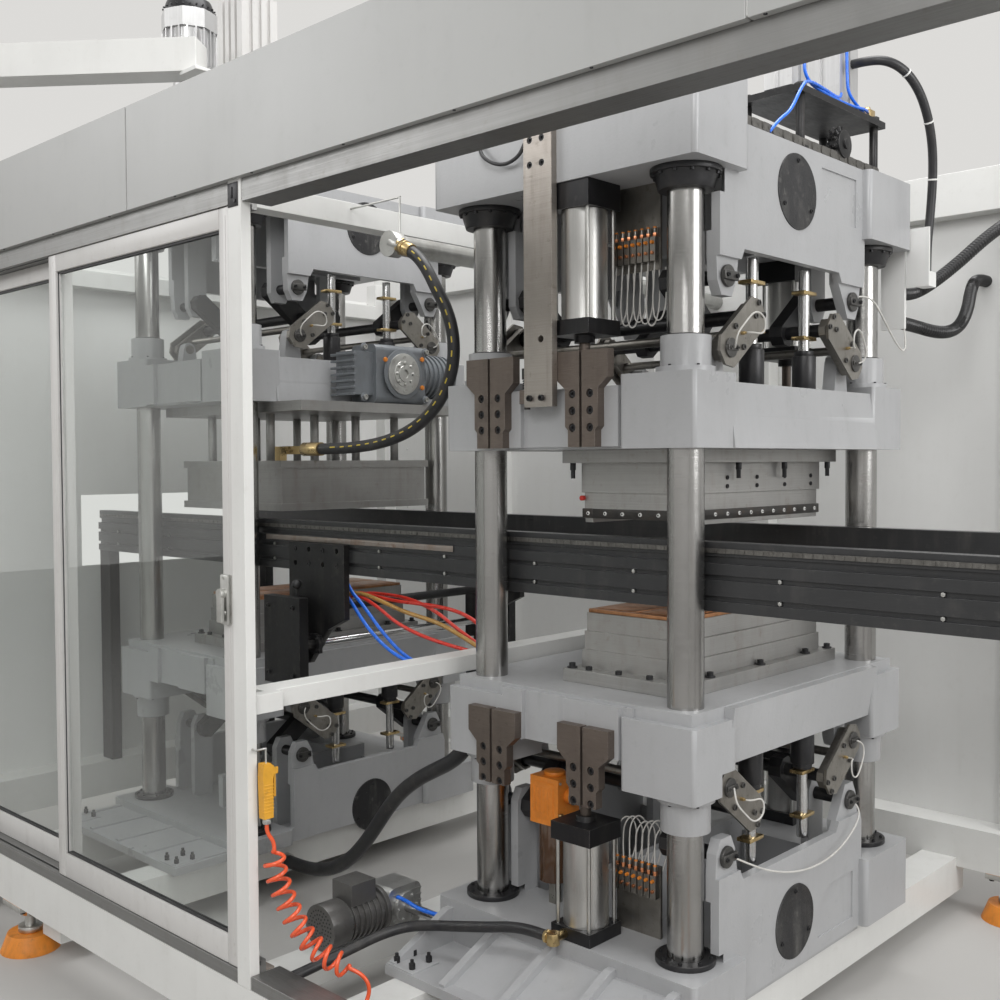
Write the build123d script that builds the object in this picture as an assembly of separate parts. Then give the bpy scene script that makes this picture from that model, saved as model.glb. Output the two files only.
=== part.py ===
from build123d import *
import math
import os

# In-line thermoforming machine. X runs along the sheet's path, Y from the operator's side to the back,
# Z up from the floor. The origin is the middle of the footprint on the floor. All sizes in millimetres.

# Stations
station_pitch = 1850.0
press_x = 630.0
former_x = press_x - station_pitch
former_rise = 185.0
former_drop = 90.0
former_toggle_shift = 107.0

# Tie columns of a station
column_diameter = 90.0
column_pitch_x = 650.0
column_pitch_y = 920.0
column_running_gap = 0.05
collar_height = 52.0
collar_flange = 14.0
collar_radius = 86.0

# Crown and base castings, which are one pattern turned over
casting_half_x = 430.0
casting_front_y = -575.0
casting_back_y = 575.0
front_block_depth = 229.0
back_block_depth = 270.0
mirror_height = 1290.0
base_bottom = 190.0
base_block_top = 333.0
crown_block_bottom = 2 * mirror_height - base_block_top
crown_block_top = crown_block_bottom + 233.0
crown_web_top = crown_block_bottom + 123.0
crown_web_bottom = crown_block_bottom - 181.0
rear_block_drop = 72.0
side_plate_outer_x = 400.0
side_plate_thickness = 24.0
ear_bottom = crown_block_bottom - 299.0
bearing_cover_radius = 98.0
bearing_cover_thickness = 8.0
bearing_cover_height = crown_block_bottom
rib_thickness = 22.0

# Toggle linkage
toggle_centre_y = -62.0
toggle_half_span = 322.0
ear_pin_height = crown_block_bottom - 252.0
link_length = 142.0
rest_angle = 52.6
pin_radius = 18.0
pin_running_gap = 0.05
link_plate_x = 376.0
link_plate_thickness = 20.0
link_half_width = 30.0
cast_link_x = 236.0
cast_link_thickness = 40.0
cast_link_half_width = 34.0
open_pivot_gap = 6.0

# Platens
platen_half_x = 410.0
platen_half_y = 548.0
platen_height = 180.0
platen_beam_height = 160.0
upper_platen_bottom = crown_block_bottom - 665.0
lower_platen_top = 925.0
platen_table_rise = 30.0
corner_block_x = 218.0
corner_block_y = 183.0
sleeve_radius = 61.0
sleeve_height = 88.0

# Moulds
mould_centre_x = 80.0
tool_plate_half_x = 195.0
tool_plate_half_y = 400.0
tool_plate_thickness = 35.0
mould_half_x = 165.0
mould_half_y = 355.0
upper_mould_heights = (80.0, 45.0)
forming_table_reach = 572.0
lower_mould_height = 150.0

# Chain rails
rail_front_y = -412.0
rail_width = 46.0
rail_bottom = 1187.0
rail_profile_height = 117.0
rail_guide_height = 51.0
rail_half_length = 2060.0

# Guard enclosure
half_length = 2100.0
half_depth = 1250.0
plinth_bottom = 160.0
plinth_top = 300.0
plinth_width = 120.0
fascia_bottom = 2212.0
fascia_top = 2480.0
fascia_sheet = 4.0
panel_joint = 3.0
post_width = 70.0
middle_post_width = 53.0
middle_post_depth = 28.0
door_width = 940.0
door_bottom = 334.0
door_top = 2158.0
door_stile = 45.0
door_depth = 30.0
glass_thickness = 6.0
front_track_y = -half_depth + 35.0
rear_track_y = -half_depth + 78.0
post_x = 197.0

os.makedirs("parts", exist_ok=True)
parts = {}


def block(x0, x1, y0, y1, z0, z1):
    """A box between two corners."""
    return Pos((x0 + x1) / 2, (y0 + y1) / 2, (z0 + z1) / 2) * Box(x1 - x0, y1 - y0, z1 - z0)


def rod_x(x0, x1, y, z, radius):
    """A round bar along X."""
    return Pos((x0 + x1) / 2, y, z) * Rot(0, 90, 0) * Cylinder(radius, x1 - x0)


def rod_y(x, y0, y1, z, radius):
    """A round bar along Y."""
    return Pos(x, (y0 + y1) / 2, z) * Rot(90, 0, 0) * Cylinder(radius, y1 - y0)


def rod_z(x, y, z0, z1, radius):
    """A round bar along Z."""
    return Pos(x, y, (z0 + z1) / 2) * Cylinder(radius, z1 - z0)


def plate_x(points, x0, x1):
    """A plate between x0 and x1 with the outline given as (y, z) points."""
    face = make_face(Polyline(*[(x0, y, z) for y, z in points], close=True))
    return extrude(face, amount=x1 - x0, dir=(1, 0, 0))


def plate_y(points, y0, y1):
    """A plate between y0 and y1 with the outline given as (x, z) points."""
    face = make_face(Polyline(*[(x, y0, z) for x, z in points], close=True))
    return extrude(face, amount=y1 - y0, dir=(0, 1, 0))


def plate_z(points, z0, z1):
    """A plate between z0 and z1 with the outline given as (x, y) points."""
    face = make_face(Polyline(*[(x, y, z0) for x, y in points], close=True))
    return extrude(face, amount=z1 - z0, dir=(0, 0, 1))


def join(pieces):
    """One solid fused from touching pieces."""
    result = pieces[0]
    for piece in pieces[1:]:
        result = result + piece
    return result


def turned_over(shape):
    """The shape mirrored about the height half way between crown and base."""
    return mirror(shape, about=Plane.XY.offset(mirror_height))


def save(name, pieces):
    """Writes one node; pieces that don't touch stay separate solids."""
    shape = pieces[0] if len(pieces) == 1 else Compound(children=list(pieces))
    shape.label = name
    export_step(shape, f"parts/{name}.step")
    parts[name] = shape


def column_places(station_x):
    """The four column centres of a station."""
    places = []
    for side_x in (-1, 1):
        for side_y in (-1, 1):
            places.append((station_x + side_x * column_pitch_x / 2, side_y * column_pitch_y / 2))
    return places


def oblong(length, half_width, corner):
    """Outline of a link with cut corners, from its lower pin at the origin to its upper pin at (0, length)."""
    low = -half_width
    high = length + half_width
    return [
        (-corner, low),
        (corner, low),
        (half_width, -corner),
        (half_width, length + corner),
        (corner, high),
        (-corner, high),
        (-half_width, length + corner),
        (-half_width, -corner),
    ]


def placed(points, y, z, angle, side):
    """The (y, z) outline turned by an angle from the vertical towards the given side and moved."""
    turn = math.radians(angle) * side
    moved = []
    for across, along in points:
        moved.append((
            y + across * math.cos(turn) + along * math.sin(turn),
            z - across * math.sin(turn) + along * math.cos(turn),
        ))
    return moved


def crown_casting(station_x, toggle_y):
    """The crown of a station at the press's height, with blind bores for its four columns."""
    front_ear = toggle_y - toggle_half_span
    rear_ear = toggle_y + toggle_half_span
    block_front = casting_front_y
    block_front_inner = block_front + front_block_depth
    block_back = casting_back_y
    block_back_inner = block_back - back_block_depth
    half = casting_half_x
    front = block(-half, half, block_front, block_front_inner, crown_block_bottom, crown_block_top)
    front = fillet(front.edges().filter_by(Axis.Z), 14)
    rear = block(-half + 5, half - 5, block_back_inner, block_back, crown_block_bottom - rear_block_drop,
                 crown_web_top)
    rear = fillet(rear.edges().filter_by(Axis.Z), 14)
    web = block(-half + 40, half - 40, block_front_inner - 20, block_back_inner + 20, crown_web_top - 36,
                crown_web_top)
    middle_rib = block(-15, 15, block_front_inner - 20, block_back_inner + 20, crown_web_bottom + 60,
                       crown_web_top - 20)
    pieces = [front, rear, web, middle_rib]
    machined_line = crown_web_bottom - 26
    side_outline = [
        (block_front_inner - 60, crown_web_top),
        (block_front_inner - 60, crown_block_bottom + 30),
        (front_ear - 44, crown_block_bottom + 4),
        (front_ear - 44, machined_line),
        (front_ear + 52, machined_line),
        (front_ear + 66, crown_web_bottom),
        (rear_ear - 92, crown_web_bottom),
        (rear_ear - 76, machined_line),
        (rear_ear + 52, machined_line),
        (rear_ear + 60, crown_web_bottom),
        (rear_ear + 60, crown_block_bottom - 60),
        (block_back_inner + 60, crown_block_bottom - 60),
        (block_back_inner + 60, crown_web_top),
    ]
    for side in (-1, 1):
        outer = side * side_plate_outer_x
        inner = outer - side * side_plate_thickness
        pieces.append(plate_x(side_outline, min(outer, inner), max(outer, inner)))
        for ear, low_side, high_side in ((front_ear, 44, 52), (rear_ear, 76, 52)):
            cheek = [
                (ear - low_side, machined_line + 60),
                (ear - low_side, machined_line),
                (ear - 40, ear_bottom + 34),
                (ear - 22, ear_bottom),
                (ear + 24, ear_bottom),
                (ear + 42, ear_bottom + 34),
                (ear + high_side, machined_line),
                (ear + high_side, machined_line + 60),
            ]
            face = side * (side_plate_outer_x - 10)
            back = face - side * 28
            pieces.append(plate_x(cheek, min(face, back), max(face, back)))
            inner_cheek = [
                (ear - 40, crown_web_top - 20),
                (ear - 40, ear_bottom + 34),
                (ear - 22, ear_bottom),
                (ear + 24, ear_bottom),
                (ear + 42, ear_bottom + 34),
                (ear + 42, crown_web_top - 20),
            ]
            face = side * (cast_link_x + cast_link_thickness / 2 + 6)
            back = face + side * 26
            pieces.append(plate_x(inner_cheek, min(face, back), max(face, back)))
    casting = join(pieces)
    for ear in (front_ear, rear_ear):
        casting = casting - rod_x(-half, half, ear, ear_pin_height, pin_radius + pin_running_gap)
    for side in (-1, 1):
        outer = side * side_plate_outer_x
        inner = outer - side * 5
        casting = casting - rod_x(min(outer, inner), max(outer, inner), toggle_y - 2, bearing_cover_height,
                                  bearing_cover_radius + 0.5)
        pocket = [
            (toggle_y + 130, crown_web_top - 36),
            (toggle_y + 130, crown_web_top - 110),
            (toggle_y + 190, crown_web_top - 170),
            (toggle_y + 330, crown_web_top - 170),
            (toggle_y + 330, crown_web_top - 36),
        ]
        casting = casting - plate_x(pocket, min(outer, inner), max(outer, inner))
    return Pos(station_x, 0, 0) * casting


# Castings of the two stations and the columns between them
column_grip = 40.0
stations = (
    ("press", press_x, 0.0, 0.0, toggle_centre_y),
    ("former", former_x, former_rise, former_drop, toggle_centre_y + former_toggle_shift),
)
columns = []
collars = []
covers = []
for name, station_x, rise, drop, toggle_y in stations:
    crown = Pos(0, 0, rise) * crown_casting(station_x, toggle_y)
    front_seat = crown_block_bottom + rise
    rear_seat = crown_block_bottom - rear_block_drop + rise
    base = Pos(0, 0, -drop) * turned_over(crown_casting(station_x, toggle_y))
    lower_front_seat = 2 * mirror_height - crown_block_bottom - drop
    lower_rear_seat = lower_front_seat + rear_block_drop
    base = base - block(-2 * half_length, 2 * half_length, -half_depth, half_depth, -500, base_bottom)
    skirt = [block(station_x - 400, station_x + 400, -800, casting_front_y + 30, base_bottom, base_bottom + 26)]
    skirt.append(block(station_x - 385, station_x + 385, -380, 330, base_bottom, base_bottom + 30))
    rib_top = lower_front_seat - 22
    for step in range(5):
        rib_x = station_x - 380 + step * 190
        outline = [
            (casting_front_y + 20, rib_top),
            (casting_front_y - 20, rib_top),
            (-792, base_bottom + 34),
            (-792, base_bottom + 10),
            (casting_front_y + 20, base_bottom + 10),
        ]
        skirt.append(plate_x(outline, rib_x - rib_thickness / 2, rib_x + rib_thickness / 2))
    skirt.append(plate_x(
        [
            (casting_front_y + 20, rib_top - 20),
            (casting_front_y - 10, rib_top - 20),
            (-760, base_bottom + 26),
            (-760, base_bottom + 10),
            (casting_front_y + 20, base_bottom + 10),
        ],
        station_x - 180,
        station_x + 380,
    ))
    base = join([base] + skirt)
    for (x, y), front in zip(column_places(station_x), (True, False, True, False)):
        top_seat = front_seat if front else rear_seat
        low_seat = lower_front_seat if front else lower_rear_seat
        columns.append(rod_z(x, y, low_seat - column_grip, top_seat + column_grip, column_diameter / 2))
        crown = crown - rod_z(x, y, top_seat - 60, top_seat + column_grip, column_diameter / 2)
        crown = crown - rod_z(x, y, top_seat - collar_height - 6, top_seat, collar_radius + 5)
        base = base - rod_z(x, y, low_seat - column_grip, low_seat + 60, column_diameter / 2)
        base = base - rod_z(x, y, low_seat, low_seat + 22, collar_radius + 5)
        bore = Cylinder(column_diameter / 2, 400)
        neck = collar_height - collar_flange
        upper = Pos(x, y, top_seat - collar_flange - neck / 2) * Cone(66, 78, neck)
        upper = upper + rod_z(x, y, top_seat - collar_flange, top_seat, collar_radius)
        collars.append(upper - Pos(x, y, top_seat) * bore)
        lower = rod_z(x, y, low_seat, low_seat + 14, collar_radius - 12)
        collars.append(lower - Pos(x, y, low_seat) * bore)
    save(f"{name}_crown", [crown])
    save(f"{name}_base", [base])
    for side in (-1, 1):
        seat = station_x + side * (side_plate_outer_x - 5)
        face = seat + side * bearing_cover_thickness
        for height in (bearing_cover_height + rise, 2 * mirror_height - bearing_cover_height - drop):
            covers.append(rod_x(min(seat, face), max(seat, face), toggle_y - 2, height, bearing_cover_radius))
save("tie_columns", columns)
save("column_collars", collars)
save("bearing_covers", covers)


def platen(station_x, bottom, block_bottom, block_top, beam_bottom, beam_top, toggle_y, lug_height, table_top):
    """A platen: four corner blocks, side and end beams, a top and bottom skin, and lugs for the toggle pins."""
    half_x = platen_half_x
    half_y = platen_half_y
    sign = 1 if lug_height > block_top else -1
    pieces = []
    inner_x = half_x - corner_block_x
    for side_x in (-1, 1):
        for side_y in (-1, 1):
            x0, x1 = sorted((side_x * half_x, side_x * inner_x))
            y0, y1 = sorted((side_y * half_y, side_y * (half_y - corner_block_y)))
            corner = block(x0, x1, y0, y1, block_bottom, block_top)
            corner = fillet(corner.edges().filter_by(Axis.Z), 10)
            pieces.append(corner)
    for side_x in (-1, 1):
        outer_top = half_x - 13
        outer_low = half_x + 7
        if sign < 0:
            outer_top, outer_low = outer_low, outer_top
        beam = plate_y(
            [
                (side_x * (inner_x + 40), beam_bottom),
                (side_x * min(outer_low, half_x + 7), beam_bottom),
                (side_x * outer_top, beam_top),
                (side_x * (inner_x + 40), beam_top),
            ],
            -half_y + corner_block_y - 20,
            half_y - corner_block_y + 20,
        )
        pieces.append(beam)
    pieces.append(block(-inner_x - 30, inner_x + 30, -half_y + 14, -half_y + 60, beam_bottom + 6, beam_top - 6))
    pieces.append(block(-inner_x - 30, inner_x + 30, half_y - 60, half_y - 14, beam_bottom + 6, beam_top - 6))
    for pad_left, pad_right in ((-inner_x - 10, -132), (10, 188)):
        pieces.append(block(pad_left, pad_right, -half_y, -half_y + 20, beam_bottom + 6, beam_top - 6))
    skin_low, skin_high = (bottom, bottom + 30) if sign > 0 else (table_top - 36, table_top)
    pieces.append(block(-half_x + 22, half_x - 22, -half_y + 22, half_y - 22, skin_low, skin_high))
    rib_low, rib_high = (beam_bottom + 10, beam_top - 6) if sign > 0 else (beam_bottom + 6, beam_top - 6)
    for rib_x in (-70, 70):
        pieces.append(block(rib_x - 12, rib_x + 12, -half_y + 50, half_y - 50, rib_low, rib_high))
    for side_x in (-1, 1):
        for pin_y in (toggle_y - toggle_half_span, toggle_y + toggle_half_span):
            x0, x1 = sorted((side_x * (link_plate_x - link_plate_thickness / 2 - 6), side_x * 322))
            root = (beam_top if sign > 0 else beam_bottom) - sign * 12
            lug = [
                (pin_y - 40, root),
                (pin_y - 26, lug_height),
                (pin_y - 18, lug_height + sign * 20),
                (pin_y, lug_height + sign * 28),
                (pin_y + 18, lug_height + sign * 20),
                (pin_y + 26, lug_height),
                (pin_y + 40, root),
            ]
            pieces.append(plate_x(lug, x0, x1))
    sleeve_root = block_top if sign > 0 else block_bottom
    for x, y in column_places(0):
        z0, z1 = sorted((sleeve_root - sign * 4, sleeve_root + sign * sleeve_height))
        pieces.append(rod_z(x, y, z0, z1, sleeve_radius))
        z0, z1 = sorted((sleeve_root - sign * 4, sleeve_root + sign * 14))
        pieces.append(rod_z(x, y, z0, z1, sleeve_radius + 11))
    body = join(pieces)
    for x, y in column_places(0):
        body = body - rod_z(x, y, bottom - 400, bottom + 700, column_diameter / 2 + column_running_gap)
    for pin_y in (toggle_y - toggle_half_span, toggle_y + toggle_half_span):
        body = body - rod_x(-half_x, half_x, pin_y, lug_height, pin_radius + pin_running_gap)
        for side_x in (-1, 1):
            x0, x1 = sorted((side_x * (link_plate_x - link_plate_thickness / 2 - 6), side_x * (half_x + 60)))
            z0, z1 = sorted((lug_height - sign * 42, lug_height + sign * 90))
            body = body - block(x0, x1, pin_y - 46, pin_y + 46, z0, z1)
    return Pos(station_x, 0, 0) * body


def cast_link(station_x, pin_y, pin_z, towards, up):
    """The cast arms on the fixed pins, with the knee shaft that joins them."""
    turn = math.radians(rest_angle)
    knee_y = pin_y + towards * link_length * math.sin(turn)
    knee_z = pin_z - up * link_length * math.cos(turn)
    across = math.atan2(pin_y - knee_y, pin_z - knee_z)
    arm = placed(oblong(link_length, cast_link_half_width, 14), knee_y, knee_z, math.degrees(across), 1)
    pieces = []
    for side in (-1, 1):
        x0 = side * cast_link_x - cast_link_thickness / 2
        pieces.append(plate_x(arm, x0, x0 + cast_link_thickness))
        near, far = sorted((side * cast_link_x, side * (side_plate_outer_x - 6)))
        pieces.append(rod_x(near, far, pin_y, pin_z, pin_radius))
        near, far = sorted((side * (link_plate_x + link_plate_thickness / 2 + 2), side * (side_plate_outer_x - 4)))
        pieces.append(rod_x(near, far, knee_y, knee_z, pin_radius + open_pivot_gap + 5))
    reach = link_plate_x + link_plate_thickness / 2 + 4
    pieces.append(rod_x(-reach, reach, knee_y, knee_z, pin_radius))
    return Pos(station_x, 0, 0) * join(pieces)


def plate_link(station_x, pin_y, pin_z, towards, up):
    """The steel link plates on the platen's pins, joined by a cross bar, open around the knee shaft."""
    turn = math.radians(rest_angle)
    knee_y = pin_y + towards * link_length * math.sin(turn)
    knee_z = pin_z + up * link_length * math.cos(turn)
    across = math.atan2(knee_y - pin_y, knee_z - pin_z)
    outline = placed(oblong(link_length, link_half_width, 14), pin_y, pin_z, math.degrees(across), 1)
    bar_y = pin_y + (knee_y - pin_y) * 0.4
    bar_z = pin_z + (knee_z - pin_z) * 0.4
    pieces = []
    for side in (-1, 1):
        x0 = side * link_plate_x - link_plate_thickness / 2
        plate = plate_x(outline, x0, x0 + link_plate_thickness)
        plate = plate - rod_x(x0 - 1, x0 + link_plate_thickness + 1, knee_y, knee_z, pin_radius + open_pivot_gap)
        pieces.append(plate)
        near, far = sorted((side * 318, side * (link_plate_x + link_plate_thickness / 2 + 8)))
        pieces.append(rod_x(near, far, pin_y, pin_z, pin_radius))
    pieces.append(rod_x(-link_plate_x, link_plate_x, bar_y, bar_z, 12))
    return Pos(station_x, 0, 0) * join(pieces)


# Platens, toggle links and moulds of the two stations
pin_drop = 2 * link_length * math.cos(math.radians(rest_angle))
for name, station_x, rise, drop, toggle_y in stations:
    upper_pin = ear_pin_height + rise
    lower_pin = 2 * mirror_height - ear_pin_height - drop
    upper_bottom = upper_platen_bottom + rise
    upper = platen(station_x, upper_bottom, upper_bottom, upper_bottom + platen_height, upper_bottom,
                   upper_bottom + platen_beam_height, toggle_y, upper_pin - pin_drop, upper_bottom)
    save(f"{name}_upper_platen", [upper])
    lower_top = lower_platen_top - drop
    table_top = lower_top + platen_table_rise
    lower = platen(station_x, lower_top - platen_height, lower_top - platen_height, lower_top,
                   table_top - platen_beam_height + 16, table_top - 2, toggle_y, lower_pin + pin_drop, table_top)
    save(f"{name}_lower_platen", [lower])
    for place, pin_side, towards in (("front", -1, 1), ("rear", 1, -1)):
        pin_y = toggle_y + pin_side * toggle_half_span
        save(f"{name}_upper_{place}_arm", [cast_link(station_x, pin_y, upper_pin, towards, 1)])
        save(f"{name}_upper_{place}_link", [plate_link(station_x, pin_y, upper_pin - pin_drop, towards, 1)])
        save(f"{name}_lower_{place}_arm", [cast_link(station_x, pin_y, lower_pin, towards, -1)])
        save(f"{name}_lower_{place}_link", [plate_link(station_x, pin_y, lower_pin + pin_drop, towards, -1)])
    mould_x = station_x + mould_centre_x
    plate_top = upper_bottom
    if name == "former":
        table_end = station_x + forming_table_reach
        box_top = plate_top - 207
        tooling = [block(station_x - 300, table_end, -tool_plate_half_y, tool_plate_half_y - 20,
                         plate_top - tool_plate_thickness, plate_top)]
        for post_step in range(4):
            for post_side in (-1, 1):
                tooling.append(rod_z(station_x + post_side * 190 + 60, -300 + post_step * 200, box_top,
                                     plate_top - tool_plate_thickness, 16))
        tooling.append(block(station_x - 250, station_x + 390, -mould_half_y, mould_half_y, box_top - 26, box_top))
        tooling.append(block(station_x - 240, station_x + 380, -mould_half_y + 10, mould_half_y - 10,
                             box_top - 154, box_top - 26))
        tooling.append(block(station_x - 250, station_x + 390, -mould_half_y, mould_half_y, box_top - 180,
                             box_top - 154))
        tooling.append(rod_x(station_x + 690, station_x + 780, -477, box_top + 36, 22)
                       + rod_y(station_x + 700, -477, -350, box_top + 36, 12)
                       + block(station_x + 380, station_x + 712, -360, -330, box_top + 22, box_top + 50)
                       + block(station_x + 360, station_x + 390, -360, -330, box_top, box_top + 50))
        save("former_upper_mould", tooling)
    upper_mould = [
        block(mould_x - tool_plate_half_x, mould_x + tool_plate_half_x, -tool_plate_half_y, tool_plate_half_y,
              plate_top - tool_plate_thickness, plate_top)
    ]
    level = plate_top - tool_plate_thickness
    for thickness, inset in zip(upper_mould_heights, (0, 6)):
        upper_mould.append(block(mould_x - mould_half_x + inset, mould_x + mould_half_x - inset,
                                 -mould_half_y + inset, mould_half_y - inset, level - thickness, level))
        level -= thickness
    for side in (-1, 1):
        x0, x1 = sorted((side * (mould_half_x - 30), side * (mould_half_x - 4)))
        upper_mould.append(block(mould_x + x0, mould_x + x1, -mould_half_y + 12, mould_half_y - 12,
                                 level - 36, level))
    if name == "press":
        save("press_upper_mould", upper_mould)
    level = table_top
    lower_mould = [
        block(mould_x - tool_plate_half_x, mould_x + tool_plate_half_x, -tool_plate_half_y, tool_plate_half_y,
              level, level + tool_plate_thickness)
    ]
    level += tool_plate_thickness
    for layer in range(3):
        height = lower_mould_height / 3
        inset = 5 * layer
        lower_mould.append(block(mould_x - mould_half_x + inset, mould_x + mould_half_x - inset,
                                 -mould_half_y + inset, mould_half_y - inset, level, level + height))
        level += height
    lower_mould.append(block(mould_x - mould_half_x + 20, mould_x + mould_half_x - 60,
                             -mould_half_y + 30, mould_half_y - 60, level, level + 8))
    save(f"{name}_lower_mould", lower_mould)

# Chain rails that carry the sheet through both stations
rails = []
for side in (1, -1):
    outer = rail_front_y
    inner = rail_front_y + rail_width
    profile_top = rail_bottom + rail_profile_height
    guide_top = profile_top + rail_guide_height
    section = [
        (outer, rail_bottom),
        (outer, rail_bottom + 26),
        (outer + 9, rail_bottom + 26),
        (outer + 9, rail_bottom + 38),
        (outer, rail_bottom + 38),
        (outer, rail_bottom + 77),
        (outer + 9, rail_bottom + 77),
        (outer + 9, rail_bottom + 89),
        (outer, rail_bottom + 89),
        (outer, profile_top),
        (outer + 14, profile_top),
        (outer + 14, guide_top - 34),
        (outer + 6, guide_top - 34),
        (outer + 6, guide_top),
        (inner, guide_top),
        (inner, profile_top - 8),
        (inner - 8, profile_top - 18),
        (inner - 8, rail_bottom + 10),
        (inner, rail_bottom),
    ]
    rail = plate_x([(side * y, z) for y, z in section], -rail_half_length, rail_half_length)
    rails.append(rail)
strip_right = press_x - 525
strip_left = former_x + 380
rails.append(block(strip_left, strip_right, rail_front_y - 3, rail_front_y, rail_bottom + 98,
                   rail_bottom + rail_profile_height))
save("chain_rails", rails)

# Stands and adjusting gear that hold the rails, with their cross shafts
stand_x = -532.0
shaft_x = stand_x + 2
shaft_heights = ((950, 14), (1067, 15))
foot_block_front = -520.0
adjusting_plates = []
for side in (1, -1):
    face = side * rail_front_y
    back = face - side * 22
    outline = [
        (stand_x - 148, 1284),
        (stand_x + 148, 1284),
        (stand_x + 148, 1040),
        (stand_x + 60, 1000),
        (stand_x - 40, 880),
        (stand_x - 148, 860),
    ]
    y0, y1 = sorted((face, back))
    plate = plate_y(outline, y0, y1)
    for column in range(4):
        for row in (1262, 1214):
            hole_x = stand_x - 112 + column * 74
            plate = plate - rod_y(hole_x, y0 - 1, y1 + 1, row, 9)
    adjusting_plates.append(plate)

# Plinth, with the cross beams that carry the stations
beams = []
for side in (-1, 1):
    y0, y1 = sorted((side * (half_depth - 14), side * (half_depth - 14 - plinth_width)))
    beams.append(block(-half_length + 4, half_length - 4, y0, y1, plinth_bottom, plinth_top))
inside = half_depth - 14 - plinth_width
for station_x in (press_x, former_x):
    for side in (-1, 1):
        x = station_x + side * 300
        beams.append(block(x - 60, x + 60, -inside - 60, inside + 60, 70, plinth_bottom))
        beams.append(block(x - 60, x + 60, -inside + 0.2, inside - 0.2, plinth_bottom, base_bottom))
drive_x = -60.0
drive_y = -792.0
drive_z = 228.0
beams.append(block(drive_x - 60, drive_x + 60, -inside - 60, inside + 60, 100, plinth_bottom))
for end in (-1, 1):
    x = end * (half_length - 64)
    beams.append(block(x - 60, x + 60, -inside, inside, plinth_bottom, plinth_top))
save("plinth_beams", [join(beams)])

# Levelling feet under the plinth
foot_places = []
for x in (-1900, -1070, 165, 1150, 1900):
    for side in (-1, 1):
        foot_places.append((x, side * (half_depth - 14 - plinth_width / 2)))
feet = []
pads = []
for x, y in foot_places:
    pad = Pos(x, y, 28) * Cone(92, 70, 56)
    pads.append(pad)
    foot = rod_z(x, y, 56, 74, 34) + rod_z(x, y, 74, plinth_bottom, 15) + rod_z(x, y, 112, 132, 27)
    foot = foot + block(x - 62, x + 62, y - 60, y + 60, 144, plinth_bottom)
    feet.append(foot)
save("levelling_feet", feet + pads)

# Guard frame: posts, top beams and cross beams
frame_top = 2530.0
rear_y = half_depth - 14 - 40
tubes = [
    block(-half_length + 4, half_length - 4, -half_depth + fascia_sheet, -half_depth + 86,
          fascia_bottom + fascia_sheet, fascia_top - fascia_sheet),
    block(-half_length + 4, half_length - 4, rear_y - 40, rear_y + 40, 2385, frame_top),
]
front_post_y0 = -half_depth + 14
front_post_y1 = front_post_y0 + 86
end_post_x = half_length - 4 - post_width / 2
front_posts = (
    (-end_post_x - post_width / 2, -end_post_x + post_width / 2, front_post_y1),
    (post_x, post_x + middle_post_width, front_post_y0 + middle_post_depth),
    (end_post_x - post_width / 2, end_post_x + post_width / 2, front_post_y1),
)
for left, right, back in front_posts:
    tubes.append(block(left, right, front_post_y0, back, plinth_top, fascia_bottom + fascia_sheet))
for x in (-half_length + 39, -1220, -340, 200, 1150, half_length - 39):
    tubes.append(block(x - 35, x + 35, rear_y - 35, rear_y + 35, plinth_top, 2385))
for x in (-half_length + 39, -310, half_length - 39):
    tubes.append(block(x - 35, x + 35, -half_depth + 86, rear_y - 40, 2290, 2360))
    tubes.append(block(x - 35, x + 35, -half_depth + 86 - 20, -half_depth + 86 + 50, 2290, 2470))
    tubes.append(block(x - 35, x + 35, rear_y - 90, rear_y - 38, 2290, 2470))
cross_beam_x = 165.0
tubes.append(block(cross_beam_x - 40, cross_beam_x + 40, -half_depth + 100, rear_y - 34, 950, 996))
tubes.append(block(post_x, post_x + 38, front_post_y0 + middle_post_depth, -half_depth + 130, 950, 996))
tubes.append(block(cross_beam_x - 35, cross_beam_x + 85, rear_y - 40, rear_y - 30, 950, 996))
save("guard_frame", [join(tubes)])

# Rail stands at both ends of the machine
stands = []
for end in (-1, 1):
    x = end * (rail_half_length - 50)
    for side in (-1, 1):
        y = side * -(rail_front_y + rail_width / 2)
        stands.append(block(x - 40, x + 40, y - 22, y + 22, plinth_top, rail_bottom))
gear = []
for height, radius in shaft_heights:
    gear.append(rod_y(shaft_x, rail_front_y, -rail_front_y, height, radius))
low_shaft, low_radius = shaft_heights[0]
for side in (1, -1):
    outside = side * (rail_front_y - 22)
    cap = outside - side * 12
    y0, y1 = sorted((outside, cap))
    gear.append(block(shaft_x - 30, shaft_x + 30, y0, y1, low_shaft - 30, low_shaft + 30))
    y0, y1 = sorted((cap, side * (foot_block_front + 36)))
    gear.append(rod_y(shaft_x, y0, y1, low_shaft, low_radius))
    y0, y1 = sorted((side * (foot_block_front + 36), side * foot_block_front))
    gear.append(block(shaft_x - 176, shaft_x + 20, y0, y1, 815, 1108))
save("rail_supports", stands + adjusting_plates + gear)

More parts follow.
